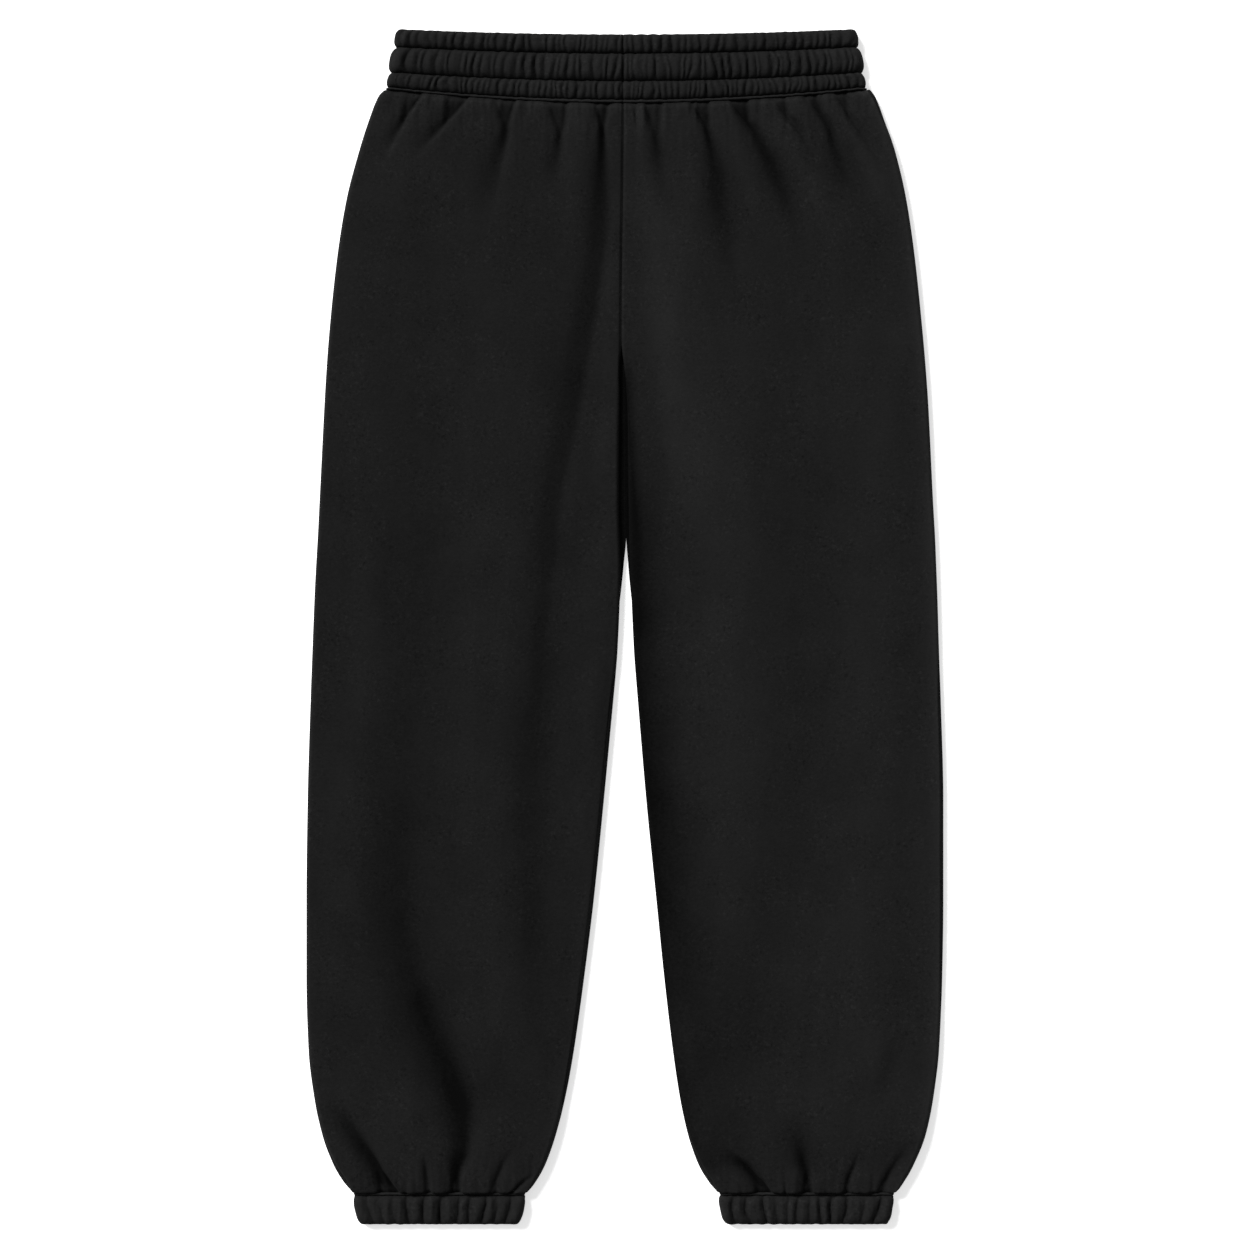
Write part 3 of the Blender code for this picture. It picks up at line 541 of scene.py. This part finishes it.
def beside_line(line, x, y):
    """(how far x is to the +X side of this line, square to it, and how far y is from the line's start)."""
    line_x, line_y = zip(*line)
    drift = (curve(line_y, line_x, y + 1) - curve(line_y, line_x, y - 1)) / 2
    aside = (x - curve(line_y, line_x, y)) / np.sqrt(1 + drift**2)
    return aside, (y - line_y[0]) * math.copysign(1, line_y[-1] - line_y[0])


def crease_depth(crease, x, y):
    """How deep the cloth sinks at (x, y) in this crease."""
    aside, gone = beside_line(crease.line, x, y)
    along = gone / abs(crease.line[-1][1] - crease.line[0][1])
    pocket = crease.pocket * np.clip(1 - gone / crease.closes, 0, 1)
    width = mix(WALL_AT_SEAM, WALL_IN_OPEN, smooth(gone, 0, WIDEN_RUN))
    across = np.maximum(np.abs(aside) - pocket, 0) / (np.where(aside > 0, crease.east, crease.west) * width)
    strength = mix(DEPTH_AT_SEAM, 1.0, smooth(gone, 0, DEEPEN_RUN)) * (1 - smooth(along, FADE_FROM, 1))
    tuck = bell(aside - pocket, TUCK_HALF) * smooth(gone, *TUCK_START) * (1 - smooth(gone, 0, TUCK_RUN))
    return crease.depth * (strength / (1 + across**2) ** 1.5 + TUCK_SHARE * tuck)


def fold_height(fold, x, y):
    """How high this fold stands, or how much paler this strip of painted light and shade is, at (x, y)."""
    aside, gone = beside_line(fold.line, x, y)
    length = abs(fold.line[-1][1] - fold.line[0][1])
    strength = smooth(gone, 0, fold.start) * smooth(length - gone, 0, fold.end)
    return fold.height * strength * bell(aside, np.where(aside > 0, fold.east, fold.west))


def gathered_depth(creases, x, y):
    """How deep the cloth sinks at (x, y) where these creases meet each other softly."""
    return sum(crease_depth(crease, x, y) ** 3 for crease in creases) ** (1 / 3)


def wrinkles(x, y, distance, seed):
    """Fine wrinkles that run out from a seam at this distance."""
    height = waviness(LONG_WRINKLES, x, y, seed) + waviness(SHORT_WRINKLES, x, y, seed)
    return height * np.exp(-distance / WRINKLE_REACH)


def relief(leg, x, y, down):
    """How deep the front of a leg lies below its crown at (x, y)."""
    ridges = sum(fold_height(fold, x, y) for fold in leg.folds)
    swell = waviness(FRONT_SWELL, x, y, leg.seed) + waviness(FRONT_DENTS, x, y, leg.seed)
    waist = wrinkles(x, y, down, leg.seed + WAIST_WRINKLE_SEED)
    ankle = ANKLE_WRINKLES * wrinkles(x, y, PANEL_LENGTH - down, leg.seed + ANKLE_WRINKLE_SEED)
    return gathered_depth(leg.creases, x, y) - ridges - swell + waist + ankle


def back_relief(leg, x, y, down):
    """How far the back of a leg is lifted off what it lies on at (x, y)."""
    mirrored = -leg.side * x + (BACK_SHIFT if leg.side > 0 else 0.0)
    distance = np.minimum(down, PANEL_LENGTH - down)
    wrinkled = BACK_WRINKLES.height + waviness(BACK_WRINKLES, x, y, leg.seed)
    swell = BACK_SWELL.height + waviness(BACK_SWELL, x, y, leg.seed)
    return gathered_depth(BACK_CREASES, mirrored, y) + wrinkled * np.exp(-distance / WRINKLE_REACH) + swell


def seam_distance(u, x, edges, runs):
    """How far a point is along the cloth from the nearer of a panel's two edge seams.

    edges are where the flat part ends, and runs are how much cloth lies beyond it.
    """
    outer = np.where(u < ARC_SHARE, runs[0] * u / ARC_SHARE, runs[0] + np.abs(x - edges[0]))
    inner = np.where(u > 1 - ARC_SHARE, runs[1] * (1 - u) / ARC_SHARE, runs[1] + np.abs(x - edges[1]))
    return np.minimum(outer, inner)


def edge_turn(share, centre, out, up, roll, turn, run):
    """(x, z, normal x, normal z) where a face turns round an edge of its panel about this centre.

    share goes from 0 to 1 at the seam, along the flat run and then the turn. out is 1 or -1 as x grows or
    falls towards the edge, and up is 1 on the front and -1 on the back. The last points are half of the
    gap from the seam.
    """
    angle = np.radians(turn) * share
    sine, cosine = np.sin(angle), np.cos(angle)
    back = SEAM_GAP / 2 * share
    x = centre[0] + out * (roll * sine - run * (1 - share)) - back * out * cosine
    z = centre[1] + up * roll * cosine + back * up * sine
    return x, z, out * sine, up * cosine


def reach(turn):
    """How far a turn of this many degrees reaches out, as a share: 1 from a quarter turn on."""
    return np.sin(np.radians(np.minimum(turn, 90)))


def between_edges(u):
    """How far a point is across the part of a face between its two turned edges, 0 to 1."""
    return np.clip((u - ARC_SHARE) / (1 - 2 * ARC_SHARE), 0, 1)


def face_section(u, side, up, roll, centres, turns, run, flat_z):
    """(x, z, normal x, normal z, distance to a seam) of a face that turns round both edges of its panel.

    The centres and turns are those at the side seam and at the inner edge, and flat_z is z between them.
    """
    (outer_x, _), (inner_x, _) = centres
    flat_end = inner_x - side * run
    x = mix(outer_x, flat_end, between_edges(u))
    flat = x, flat_z, np.zeros_like(x), np.full_like(x, up)
    to_outer = np.clip(1 - u / ARC_SHARE, 0, 1)
    to_inner = np.clip((u - 1 + ARC_SHARE) / ARC_SHARE, 0, 1)
    outer = edge_turn(to_outer, centres[0], -side, up, roll, turns[0], 0)
    inner = edge_turn(to_inner, centres[1], side, up, roll, turns[1], run)
    x, z, normal_x, normal_z = (
        np.where(u < ARC_SHARE, first, np.where(u > 1 - ARC_SHARE, last, between))
        for first, between, last in zip(outer, flat, inner)
    )
    runs = np.radians(turns[0]) * roll, np.radians(turns[1]) * roll + run
    return x, z, normal_x, normal_z, seam_distance(u, x, (outer_x, flat_end), runs)


def front_section(leg, u, y, down):
    """(x, z, normal x, normal z, distance to a seam) of the front face.

    u is 0 at the side seam and 1 at the rise or inseam.
    """
    row = table(leg.outline, "y", y)
    body = table(BODY, "down", down)
    roll, side = body.roll, leg.side
    turned = np.maximum(reach(row.front_turn), row.wrap)
    run = EDGE_RUN * (1 - turned)
    inner_x = row.front - side * roll * turned
    inner_z = mix(body.crown - RISE_DIP - roll, roll, turned)
    across = between_edges(u)
    fall_outer = (2 * roll - body.crown) * (1 - across) ** EDGE_SOFTNESS
    fall_inner = (inner_z + roll - body.crown) * across**EDGE_SOFTNESS
    crowned = body.crown + fall_outer + fall_inner
    centres = (row.outer + side * roll, roll), (inner_x, inner_z)
    return face_section(u, side, 1, roll, centres, (row.outer_turn, row.front_turn), run, crowned)


def seam_roll(depth, distance):
    """How far the face rolls down into a seam at this distance."""
    return depth * bell(distance, SEAM_ROLL_REACH)


def panel_roll(leg, u, y):
    """How deep a panel's face rolls into the seam along its nearer edge. The rise is the deepest."""
    row = table(leg.outline, "y", y)
    turn = np.where(u > 0.5, row.front_turn, row.outer_turn)
    edge = mix(EDGE_ROLL, SIDE_ROLL, smooth(turn, *SIDE_TURN))
    return mix(RISE_ROLL, edge, np.where(u > 0.5, row.wrap, 1.0))


def seam_wear(distance, depth):
    """How much paler the cloth is at this distance from a seam, where it isn't drawn down into a crease."""
    level = np.clip(1 - depth / UNWORN_DEPTH, 0, 1)
    return SEAM_WEAR * bell(distance - SEAM_WEAR_AT, SEAM_WEAR_HALF) * level


def edge_wear(leg, u, y, distance):
    """How much paler a panel is beside its edge seam, where that seam doesn't lie hidden at the side."""
    row = table(leg.outline, "y", y)
    turn = np.where(u > 0.5, row.front_turn, row.outer_turn)
    at_rise = (u > 0.5) * (1 - row.wrap)
    wear = mix(EDGE_WEAR, RISE_WEAR, at_rise) * (1 - smooth(turn, *HIDDEN_TURN))
    return wear * bell(distance - EDGE_WEAR_AT, EDGE_WEAR_HALF)


def pinch_highlight(crease, x, y):
    """How much paler the cloth is, as painted highlight, in the short pinch where this crease starts."""
    aside, gone = beside_line(crease.line, x, y)
    narrow = bell(aside + crease.pocket, PINCH_HIGHLIGHT_HALF)
    return PINCH_HIGHLIGHT * narrow * bell(gone - PINCH_HIGHLIGHT_AT, PINCH_HIGHLIGHT_RUN)


def settled(section, leg, u, down):
    """What a section gives once x and the level of each row agree, and those levels."""
    level = row_level(down, 0.0)
    for _ in range(LEVEL_ROUNDS):
        placed = section(leg, u, level, down)
        level = row_level(down, placed[0])
    return *placed, level


def front_face(leg, u, down):
    """(x, y, z, shade) of a leg's front: real wear with painted light and shade, darker in a hollow."""
    x, z, normal_x, normal_z, seam, level = settled(front_section, leg, u, down)
    depth = relief(leg, x, level, down)
    room = np.maximum(0.0, z - 2 * CLOTH - LAYER_GAP - back_relief(leg, x, level, down))
    upward = np.maximum(0.0, normal_z) ** 2
    near_ankle = PANEL_LENGTH - down
    end = np.minimum(down, near_ankle)
    rolled = seam_roll(panel_roll(leg, u, level), seam) + seam_roll(END_ROLL, end)
    sunk = np.where(depth > 0, room * np.tanh(depth / np.maximum(room, LEAST_ROOM)), depth) * upward + rolled
    x, z = x - normal_x * sunk, z - normal_z * sunk
    puffed = bell(near_ankle - ANKLE_PUFF_AT, ANKLE_PUFF_HALF) * np.clip(1 - depth / OVERHANG_DEPTH, 0, 1)
    hang = ANKLE_OVERHANG * puffed * upward

    row = table(leg.outline, "y", level)
    opened = smooth(row.front_turn, *OPEN_TURN)
    # Painted shade in the hollows, painted highlight on the ridges, less in the pockets at the waist seam
    shaded = PAINTED_SHADE_PER_MM * depth * upward * mix(POCKET_PAINTED_SHADE, 1.0, smooth(down, 0, POCKET_RUN))
    # Painted highlight along the folded side; at the inner edge painted highlight on the right leg, painted
    # shade on the left
    outer = leg.rim * np.exp(-np.abs(x - row.outer) / leg.rim_reach)
    inner = leg.inner * np.exp(-np.abs(x - row.front) / leg.inner_reach) * opened
    # Real wear beside the seams, and on the next line the strips of painted light and shade
    wear_and_painted_shading = seam_wear(end, depth) + edge_wear(leg, u, level, seam)
    wear_and_painted_shading = wear_and_painted_shading + sum(fold_height(shading_strip, x, level) for shading_strip in leg.fades)
    # Painted highlights where the creases pinch into their seams
    wear_and_painted_shading = wear_and_painted_shading + sum(pinch_highlight(crease, x, level) for crease in leg.creases)
    # Rolling down into a seam darkens the colour as painted shade
    return x, row_level(down, x) - hang, z, LEVEL_WASH - shaded - SEAM_PAINTED_SHADE * rolled + outer + inner + wear_and_painted_shading


def back_section(leg, u, y, down):
    """The same as front_section for the back face, which lies flat and turns up at its edges."""
    row = table(leg.outline, "y", y)
    roll, side = table(BODY, "down", down).roll, leg.side
    front_turned = np.maximum(reach(row.front_turn), row.wrap)
    inner_turn = row.wrap * (180 - row.front_turn)
    turned = reach(inner_turn)
    run = EDGE_RUN * (1 - turned) * (1 - row.wrap)
    inner_x = mix(row.back - side * roll * turned, row.front - side * roll * front_turned, row.wrap)
    centres = (row.outer + side * roll, roll), (inner_x, roll)
    turns = 180 - row.outer_turn, inner_turn
    return face_section(u, side, -1, roll, centres, turns, run, np.zeros_like(u))


def back_face(leg, u, down):
    """(x, y, z, shade) of a leg's back, darker as painted shade in its creases, seams and the gap between
    the legs.
    """
    x, z, normal_x, normal_z, seam, level = settled(back_section, leg, u, down)
    lifted = back_relief(leg, x, level, down) * np.maximum(0.0, -normal_z) ** 2
    rolled = seam_roll(BACK_ROLL * panel_roll(leg, u, level), seam)
    x, z = x - normal_x * (lifted + rolled), z - normal_z * (lifted + rolled)
    row = table(leg.outline, "y", level)
    opened = smooth(row.front_turn, *OPEN_TURN) * (1 - row.wrap) * (u > 0.5)
    # Painted shade where the back is lifted into its creases and where it rolls into its seams
    shaded = BACK_PAINTED_SHADE * PAINTED_SHADE_PER_MM * lifted + SEAM_PAINTED_SHADE * rolled
    # Painted shade on the back where it shows in the gap between the legs
    painted_gap_shade = GAP_PAINTED_SHADE * opened * bell(seam, GAP_REACH)
    return x, row_level(down, x), z, LEVEL_WASH - (shaded + painted_gap_shade)


def new_object(name, bm, material):
    """This bmesh as an object at the origin, smooth but for its sharp edges."""
    mesh = bpy.data.meshes.new(name)
    bm.to_mesh(mesh)
    bm.free()
    mesh.shade_smooth()
    mesh.set_sharp_from_angle(angle=math.radians(SHARP_ANGLE))
    mesh.materials.append(material)
    made = bpy.data.objects.new(name, mesh)
    bpy.context.scene.collection.objects.link(made)
    return made


def grid(columns, rows):
    """A flat grid and the places of its points across and down it, 0 to 1."""
    bm = bmesh.new()
    bmesh.ops.create_grid(bm, x_segments=columns, y_segments=rows, size=0.5)
    places = np.array([vert.co[:2] for vert in bm.verts]) + 0.5
    return bm, places[:, 0], 1 - places[:, 1]


def shape(bm, x, y, z, wash_and_painted_shading):
    """Moves a grid's points to these places and keeps the shade of each, wear with painted light and shade,
    for the cloth's colour.
    """
    shade = bm.verts.layers.float.new("wash_and_painted_shading")
    for vert, place, value in zip(bm.verts, np.stack([x, y, z], axis=1) * MM, np.clip(wash_and_painted_shading, 0, 1)):
        vert.co = place
        vert[shade] = value


def panel(name, leg, size, face_of, faces_up, material):
    """One layer of cloth with the given face."""
    bm, across, along = grid(*size)
    down = PANEL_LENGTH * (along - ROW_CROWDING * np.sin(2 * np.pi * along) / (2 * np.pi))
    shape(bm, *face_of(leg, across, down))
    bmesh.ops.recalc_face_normals(bm, faces=bm.faces)
    bm.normal_update()
    middle = sum(face.normal.z for face in bm.faces) / len(bm.faces)
    if (middle > 0) != faces_up:
        bmesh.ops.reverse_faces(bm, faces=bm.faces)
    bmesh.ops.solidify(bm, geom=bm.faces[:], thickness=CLOTH * MM)
    return new_object(name, bm, material)


def gather(places, length, count, uneven, seed):
    """(how far gathered cloth stands out at these places round a band of this length, how pinched it is).

    The first is 1 on a full lobe, down to 0 in the tightest grooves. The lobes are unevenly wide and full,
    and the grooves unevenly tight, slacker beside a narrow lobe.
    """
    draw = random.Random(seed)
    widths = np.array([draw.uniform(1 - uneven, 1 + uneven) for _ in range(count)])
    edges = np.concatenate([[0.0], np.cumsum(widths)]) / sum(widths)
    tightness = np.array([draw.uniform(*GROOVE_TIGHTNESS) for _ in range(count)])
    tightness = tightness * np.clip(np.minimum(widths, np.roll(widths, 1)), LEAST_TIGHTNESS, 1.0)
    fullness = np.array([draw.uniform(*LOBE_FULLNESS) for _ in range(count)])
    places = places % 1.0
    lobe = np.clip(np.searchsorted(edges, places, side="right") - 1, 0, count - 1)
    phase = (places - edges[lobe]) / (edges[lobe + 1] - edges[lobe])
    groove = 1 - mix(tightness[lobe], tightness[(lobe + 1) % count], smooth(phase, 0, 1))
    blunt = 1 - np.abs(2 * phase - 1) ** LOBE_BLUNTNESS
    wave = (1 - np.cos(2 * math.pi * phase)) / 2
    out = mix(groove, fullness[lobe], mix(blunt, wave, WAVE_SHARE))
    from_groove = np.minimum(phase, 1 - phase) * (edges[lobe + 1] - edges[lobe]) * length
    return out, bell(from_groove, PINCH_HALF) * (1 - groove)


def round_band(half, top, share):
    """(x, z, normal x, normal z) round a flattened tube: the front for share 0 to 1, then the back."""
    radius = top / 2
    straight = half - radius
    quarter = math.pi * radius / 2
    along = np.where(share < 1, share, 2 - share) * 2 * (straight + quarter)
    sense = np.where(share < 1, 1.0, -1.0)
    turn = np.clip((along - quarter) / radius, -math.pi / 2, 0)
    turn = turn + np.clip((along - quarter - 2 * straight) / radius, 0, math.pi / 2)
    middle = np.clip(along - quarter, 0, 2 * straight) - straight
    normal_x, normal_z = np.sin(turn), sense * np.cos(turn)
    return middle + radius * normal_x, radius + radius * normal_z, normal_x, normal_z


def line_level(band, k, across, x):
    """y of line number k of a band at this share of its half width. Lobes push it a little to and fro."""
    line = band.lines[k]
    wander = line.wander * waviness(LINE_WANDER, x, np.zeros_like(x), band.seed + k)
    return mix(line.y, line.y_end, across**2) + wander


def puff_surface(band, k, share, step):
    """(x, y, z, shade) on the outside of puff number k, at this share round and step up the row."""
    low, high, puff = band.lines[k], band.lines[k + 1], band.puffs[k]
    t = (1 - np.cos(math.pi * step / puff.rows)) / 2
    swell = (1 - np.abs(2 * t - 1) ** puff.square) ** PUFF_STEEPNESS
    half = mix(low.half, high.half, t)
    top = mix(low.top, high.top, t)
    x, z, normal_x, normal_z = round_band(half, top, share)
    below = np.clip(-normal_z, 0, 1)
    full, pinch = np.ones_like(share), np.zeros_like(share)
    if puff.lobes:
        seed = band.seed + PUFF_SEED * k
        level = np.zeros_like(x)
        lean = waviness(GROOVE_LEAN, x, level, seed) * (t - 0.5) + waviness(GROOVE_WOBBLE, x, t, seed)
        bow = waviness(GROOVE_BOW, x, level, seed) - SIDE_BOW * puff.side_swell * x / half
        length = 4 * band.lines[0].half
        places = share / 2 + (lean + bow * t * (1 - t)) / length
        full, pinch = gather(places, length, 2 * puff.lobes, puff.uneven, seed)
        full = full + waviness(LOBE_DENTS, x, t, seed) - PINCH * pinch
    out = np.maximum(swell * mix(puff.groove, 1.0, full), 0)
    join = band.join_depth * bell(x - band.join_x, JOIN_HALF) * np.clip(normal_z, 0, 1)
    raised = mix(puff.side_swell, puff.swell, np.abs(normal_z)) * out - join
    raised = raised * (1 - below) - np.clip(1 - out, 0, 1) * below * mix(low.under, high.under, t)
    y = mix(line_level(band, k, x / half, x), line_level(band, k + 1, x / half, x), t)
    # Painted highlight on the band's sides; lobes paler partly by wear, partly as painted highlight;
    # grooves,
    # pinches and the join darker as painted shade
    rim = BAND_RIM_HIGHLIGHT * np.exp(-(half + raised - np.abs(x)) / BAND_RIM_REACH)
    wash_and_painted_shading = GROOVE_PAINTED_SHADE + LOBE_WEAR_AND_HIGHLIGHT * out - PINCH_PAINTED_SHADE * pinch - JOIN_PAINTED_SHADE * join + rim
    return x + normal_x * raised, y, z + normal_z * raised, wash_and_painted_shading


def slit_surface(band, share, t):
    """(x, y, z, shade) on the inside of a band, from its top or hem line to the one at its seam, in painted
    shade.
    """
    first, last = band.lines[-1], band.lines[0]
    across = np.where(share < 1, share, 2 - share) * 2 - 1
    x = across * (mix(first.half, last.half, t) - band.wall - SLIT_INSET)
    y = mix(mix(first.y, first.y_end, across**2), mix(last.y, last.y_end, across**2), t)
    return x, y, band.wall + np.where(share < 1, SLIT, 0.0), np.full_like(x, SLIT_PAINTED_SHADE)


def build_band(name, material):
    """A gathered tube of folded cloth over elastic, flattened: puffed rows outside, plain inside."""
    band = BANDS[name]
    outside = sum(puff.rows for puff in band.puffs)
    rows = outside + SLIT_ROWS
    bm, around, down = grid(band.columns, rows)
    behind = 1 + (around - FRONT_SHARE) / (1 - FRONT_SHARE)
    share = np.where(around < FRONT_SHARE, around / FRONT_SHARE, behind)
    step = np.round((1 - down) * rows) % rows
    placed = slit_surface(band, share, (step - outside) / SLIT_ROWS)
    start = 0
    for k, puff in enumerate(band.puffs):
        here = (step >= start) & (step <= start + puff.rows)
        outer = puff_surface(band, k, share, np.clip(step - start, 0, puff.rows))
        placed = [np.where(here, new, old) for new, old in zip(outer, placed)]
        start += puff.rows
    shape(bm, placed[0] + band.centre_x, *placed[1:])
    bmesh.ops.remove_doubles(bm, verts=bm.verts, dist=MERGE * MM)
    bmesh.ops.recalc_face_normals(bm, faces=bm.faces)
    return new_object(name, bm, material)


def add_node(tree, kind, settings=None, **links):
    """A shader node with its settings, and its inputs as values or as the outputs that feed them.

    An input goes by its name, or by its number after an underscore where several have the same name.
    """
    node = tree.nodes.new(kind)
    for name, value in (settings or {}).items():
        setattr(node, name, value)
    for name, value in links.items():
        found = node.inputs[int(name[1:])] if name[1:].isdigit() else node.inputs[name.replace("_", " ")]
        if isinstance(value, bpy.types.NodeSocket):
            tree.links.new(value, found)
        else:
            found.default_value = value
    return node


def fleece(name, dark, light):
    """Cotton fleece, garment-washed: a matt knit face with pale and dark flecks and cloudy fading.

    It is paler on the ridges, partly worn in washing and partly as painted highlight, and darker down in the
    creases as painted shade.
    """
    material = bpy.data.materials.new(name)
    material.use_nodes = True
    tree = material.node_tree
    surface = tree.nodes["Principled BSDF"]
    place = add_node(tree, "ShaderNodeTexCoord").outputs["Object"]
    wash_and_painted_shading = add_node(tree, "ShaderNodeAttribute", {"attribute_name": "wash_and_painted_shading"}).outputs["Fac"]
    # The knit's loops are about 1 mm. They are drawn as a speckle of 3 mm along the courses and 2.3 mm
    # across them, so that they show.
    courses = add_node(tree, "ShaderNodeMapping", Vector=place, Scale=(330.0, 440.0, 400.0)).outputs[0]
    speckle = add_node(tree, "ShaderNodeTexNoise", Vector=courses, Scale=1.0, Detail=3.0, Roughness=0.65)
    # Clouds of fading are about 45 mm across, with smaller ones in them
    clouds = add_node(tree, "ShaderNodeTexNoise", Vector=place, Scale=22.0, Detail=5.0, Roughness=0.6)
    # Pale curled lint, 1 to 3 mm long, and dark pits of the same size, both thicker in patches of 26 mm
    lint = add_node(tree, "ShaderNodeTexNoise", Vector=place, Scale=380.0, Detail=2.0, Roughness=0.5,
                    Distortion=0.7)
    patches = add_node(tree, "ShaderNodeTexNoise", Vector=place, Scale=38.0, Detail=2.0, Roughness=0.5)
    thick = add_node(tree, "ShaderNodeMapRange", Value=patches.outputs["Fac"], From_Min=0.3, From_Max=0.62)
    tone = wash_and_painted_shading
    for pattern, amount in ((speckle, SPECKLE), (clouds, CLOUDS)):
        shade = add_node(tree, "ShaderNodeMapRange", Value=pattern.outputs["Fac"], From_Min=0.3,
                         From_Max=0.7, To_Min=-amount / 2, To_Max=amount / 2)
        tone = add_node(tree, "ShaderNodeMath", {"operation": "ADD"}, _0=tone,
                        _1=shade.outputs[0]).outputs[0]
    # The lint shows less where the colour is darker, as in the painted shade of a hollow
    wear_and_painted_shading = add_node(tree, "ShaderNodeMath", {"operation": "MULTIPLY", "use_clamp": True}, _0=wash_and_painted_shading, _1=2.4)
    shown = add_node(tree, "ShaderNodeMath", {"operation": "MULTIPLY"}, _0=wear_and_painted_shading.outputs[0],
                     _1=thick.outputs[0])
    for low, high, amount in (PALE_LINT, DARK_PITS):
        marks = add_node(tree, "ShaderNodeMapRange", Value=lint.outputs["Fac"], From_Min=low, From_Max=high,
                         To_Min=0.0, To_Max=amount)
        tone = add_node(tree, "ShaderNodeMath", {"operation": "MULTIPLY_ADD"}, _0=marks.outputs[0],
                        _1=shown.outputs[0], _2=tone).outputs[0]
    color = add_node(tree, "ShaderNodeMix", {"data_type": "RGBA"}, _0=tone, _6=hex_color(dark),
                     _7=hex_color(light))
    tree.links.new(color.outputs[2], surface.inputs["Base Color"])
    bump = add_node(tree, "ShaderNodeBump", Height=speckle.outputs["Fac"], Strength=0.3, Distance=0.6 * MM)
    tree.links.new(bump.outputs[0], surface.inputs["Normal"])
    # Brushed cotton scatters light, with hardly any gloss and a faint sheen on its upright fibres
    surface.inputs["Roughness"].default_value = 0.95
    surface.inputs["Specular IOR Level"].default_value = 0.04
    surface.inputs["Sheen Weight"].default_value = 0.03
    surface.inputs["Sheen Roughness"].default_value = 0.45
    surface.inputs["Sheen Tint"].default_value = hex_color("#9a9a9a")
    return material


def pale_floor():
    """A plain white floor just below the cloth, wide enough to fill every view."""
    paint = bpy.data.materials.new("white_matt_floor")
    paint.use_nodes = True
    surface = paint.node_tree.nodes["Principled BSDF"]
    surface.inputs["Base Color"].default_value = hex_color("#f2f2f2")
    surface.inputs["Roughness"].default_value = 0.9
    surface.inputs["Emission Color"].default_value = hex_color("#ffffff")
    surface.inputs["Emission Strength"].default_value = 0.55
    bm = bmesh.new()
    bmesh.ops.create_grid(bm, x_segments=1, y_segments=1, size=FLOOR_HALF)
    bmesh.ops.translate(bm, verts=bm.verts, vec=(0, 0, -FLOOR_DROP))
    new_object("floor", bm, paint)


def studio():
    """Pale floor, soft light all round and from the waist end, camera straight above."""
    pale_floor()
    world = bpy.data.worlds.new("soft_white_room")
    world.use_nodes = True
    room = world.node_tree.nodes["Background"]
    room.inputs["Color"].default_value = (1, 1, 1, 1)
    room.inputs["Strength"].default_value = 0.3
    bpy.context.scene.world = world

    # A broad window light from the waist end on the wearer's right, 33 degrees above the floor
    data = bpy.data.lights.new("window_light", "SUN")
    data.energy = 6.5
    data.angle = math.radians(28)
    lamp = bpy.data.objects.new("window_light", data)
    lamp.rotation_euler = Vector((-0.59, 0.59, 0.55)).to_track_quat("Z", "Y").to_euler()
    bpy.context.scene.collection.objects.link(lamp)

    data = bpy.data.cameras.new("camera")
    data.lens = LENS
    camera = bpy.data.objects.new("camera", data)
    camera.location = (VIEW_X, 0.0, CLOTH_HEIGHT + VIEW_WIDTH * LENS / data.sensor_width)
    bpy.context.scene.collection.objects.link(camera)
    bpy.context.scene.camera = camera
    bpy.context.scene.view_settings.view_transform = "Standard"


def main():
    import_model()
    panel_cloth = fleece("washed_black_fleece", "#040404", "#222222")
    band_cloth = fleece("gathered_black_fleece", "#040404", "#252525")

    for side, leg in LEGS.items():
        front = panel(f"{side}_front_panel", leg, FRONT_GRID, front_face, True, panel_cloth)
        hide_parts(f"front_{side}")
        back = panel(f"{side}_back_panel", leg, BACK_GRID, back_face, False, panel_cloth)
        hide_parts(f"back_{side}")
        for made in (front, back):
            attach(made, "root")

    for name, node, cut in (
        ("shirred_waistband", "waistband", WAISTBAND_CUT),
        ("right_cuff", "cuff_right", CUFF_CUT),
        ("left_cuff", "cuff_left", CUFF_CUT),
    ):
        band = build_band(name, band_cloth)
        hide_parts(node)
        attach(band, "root")

    studio()


main()
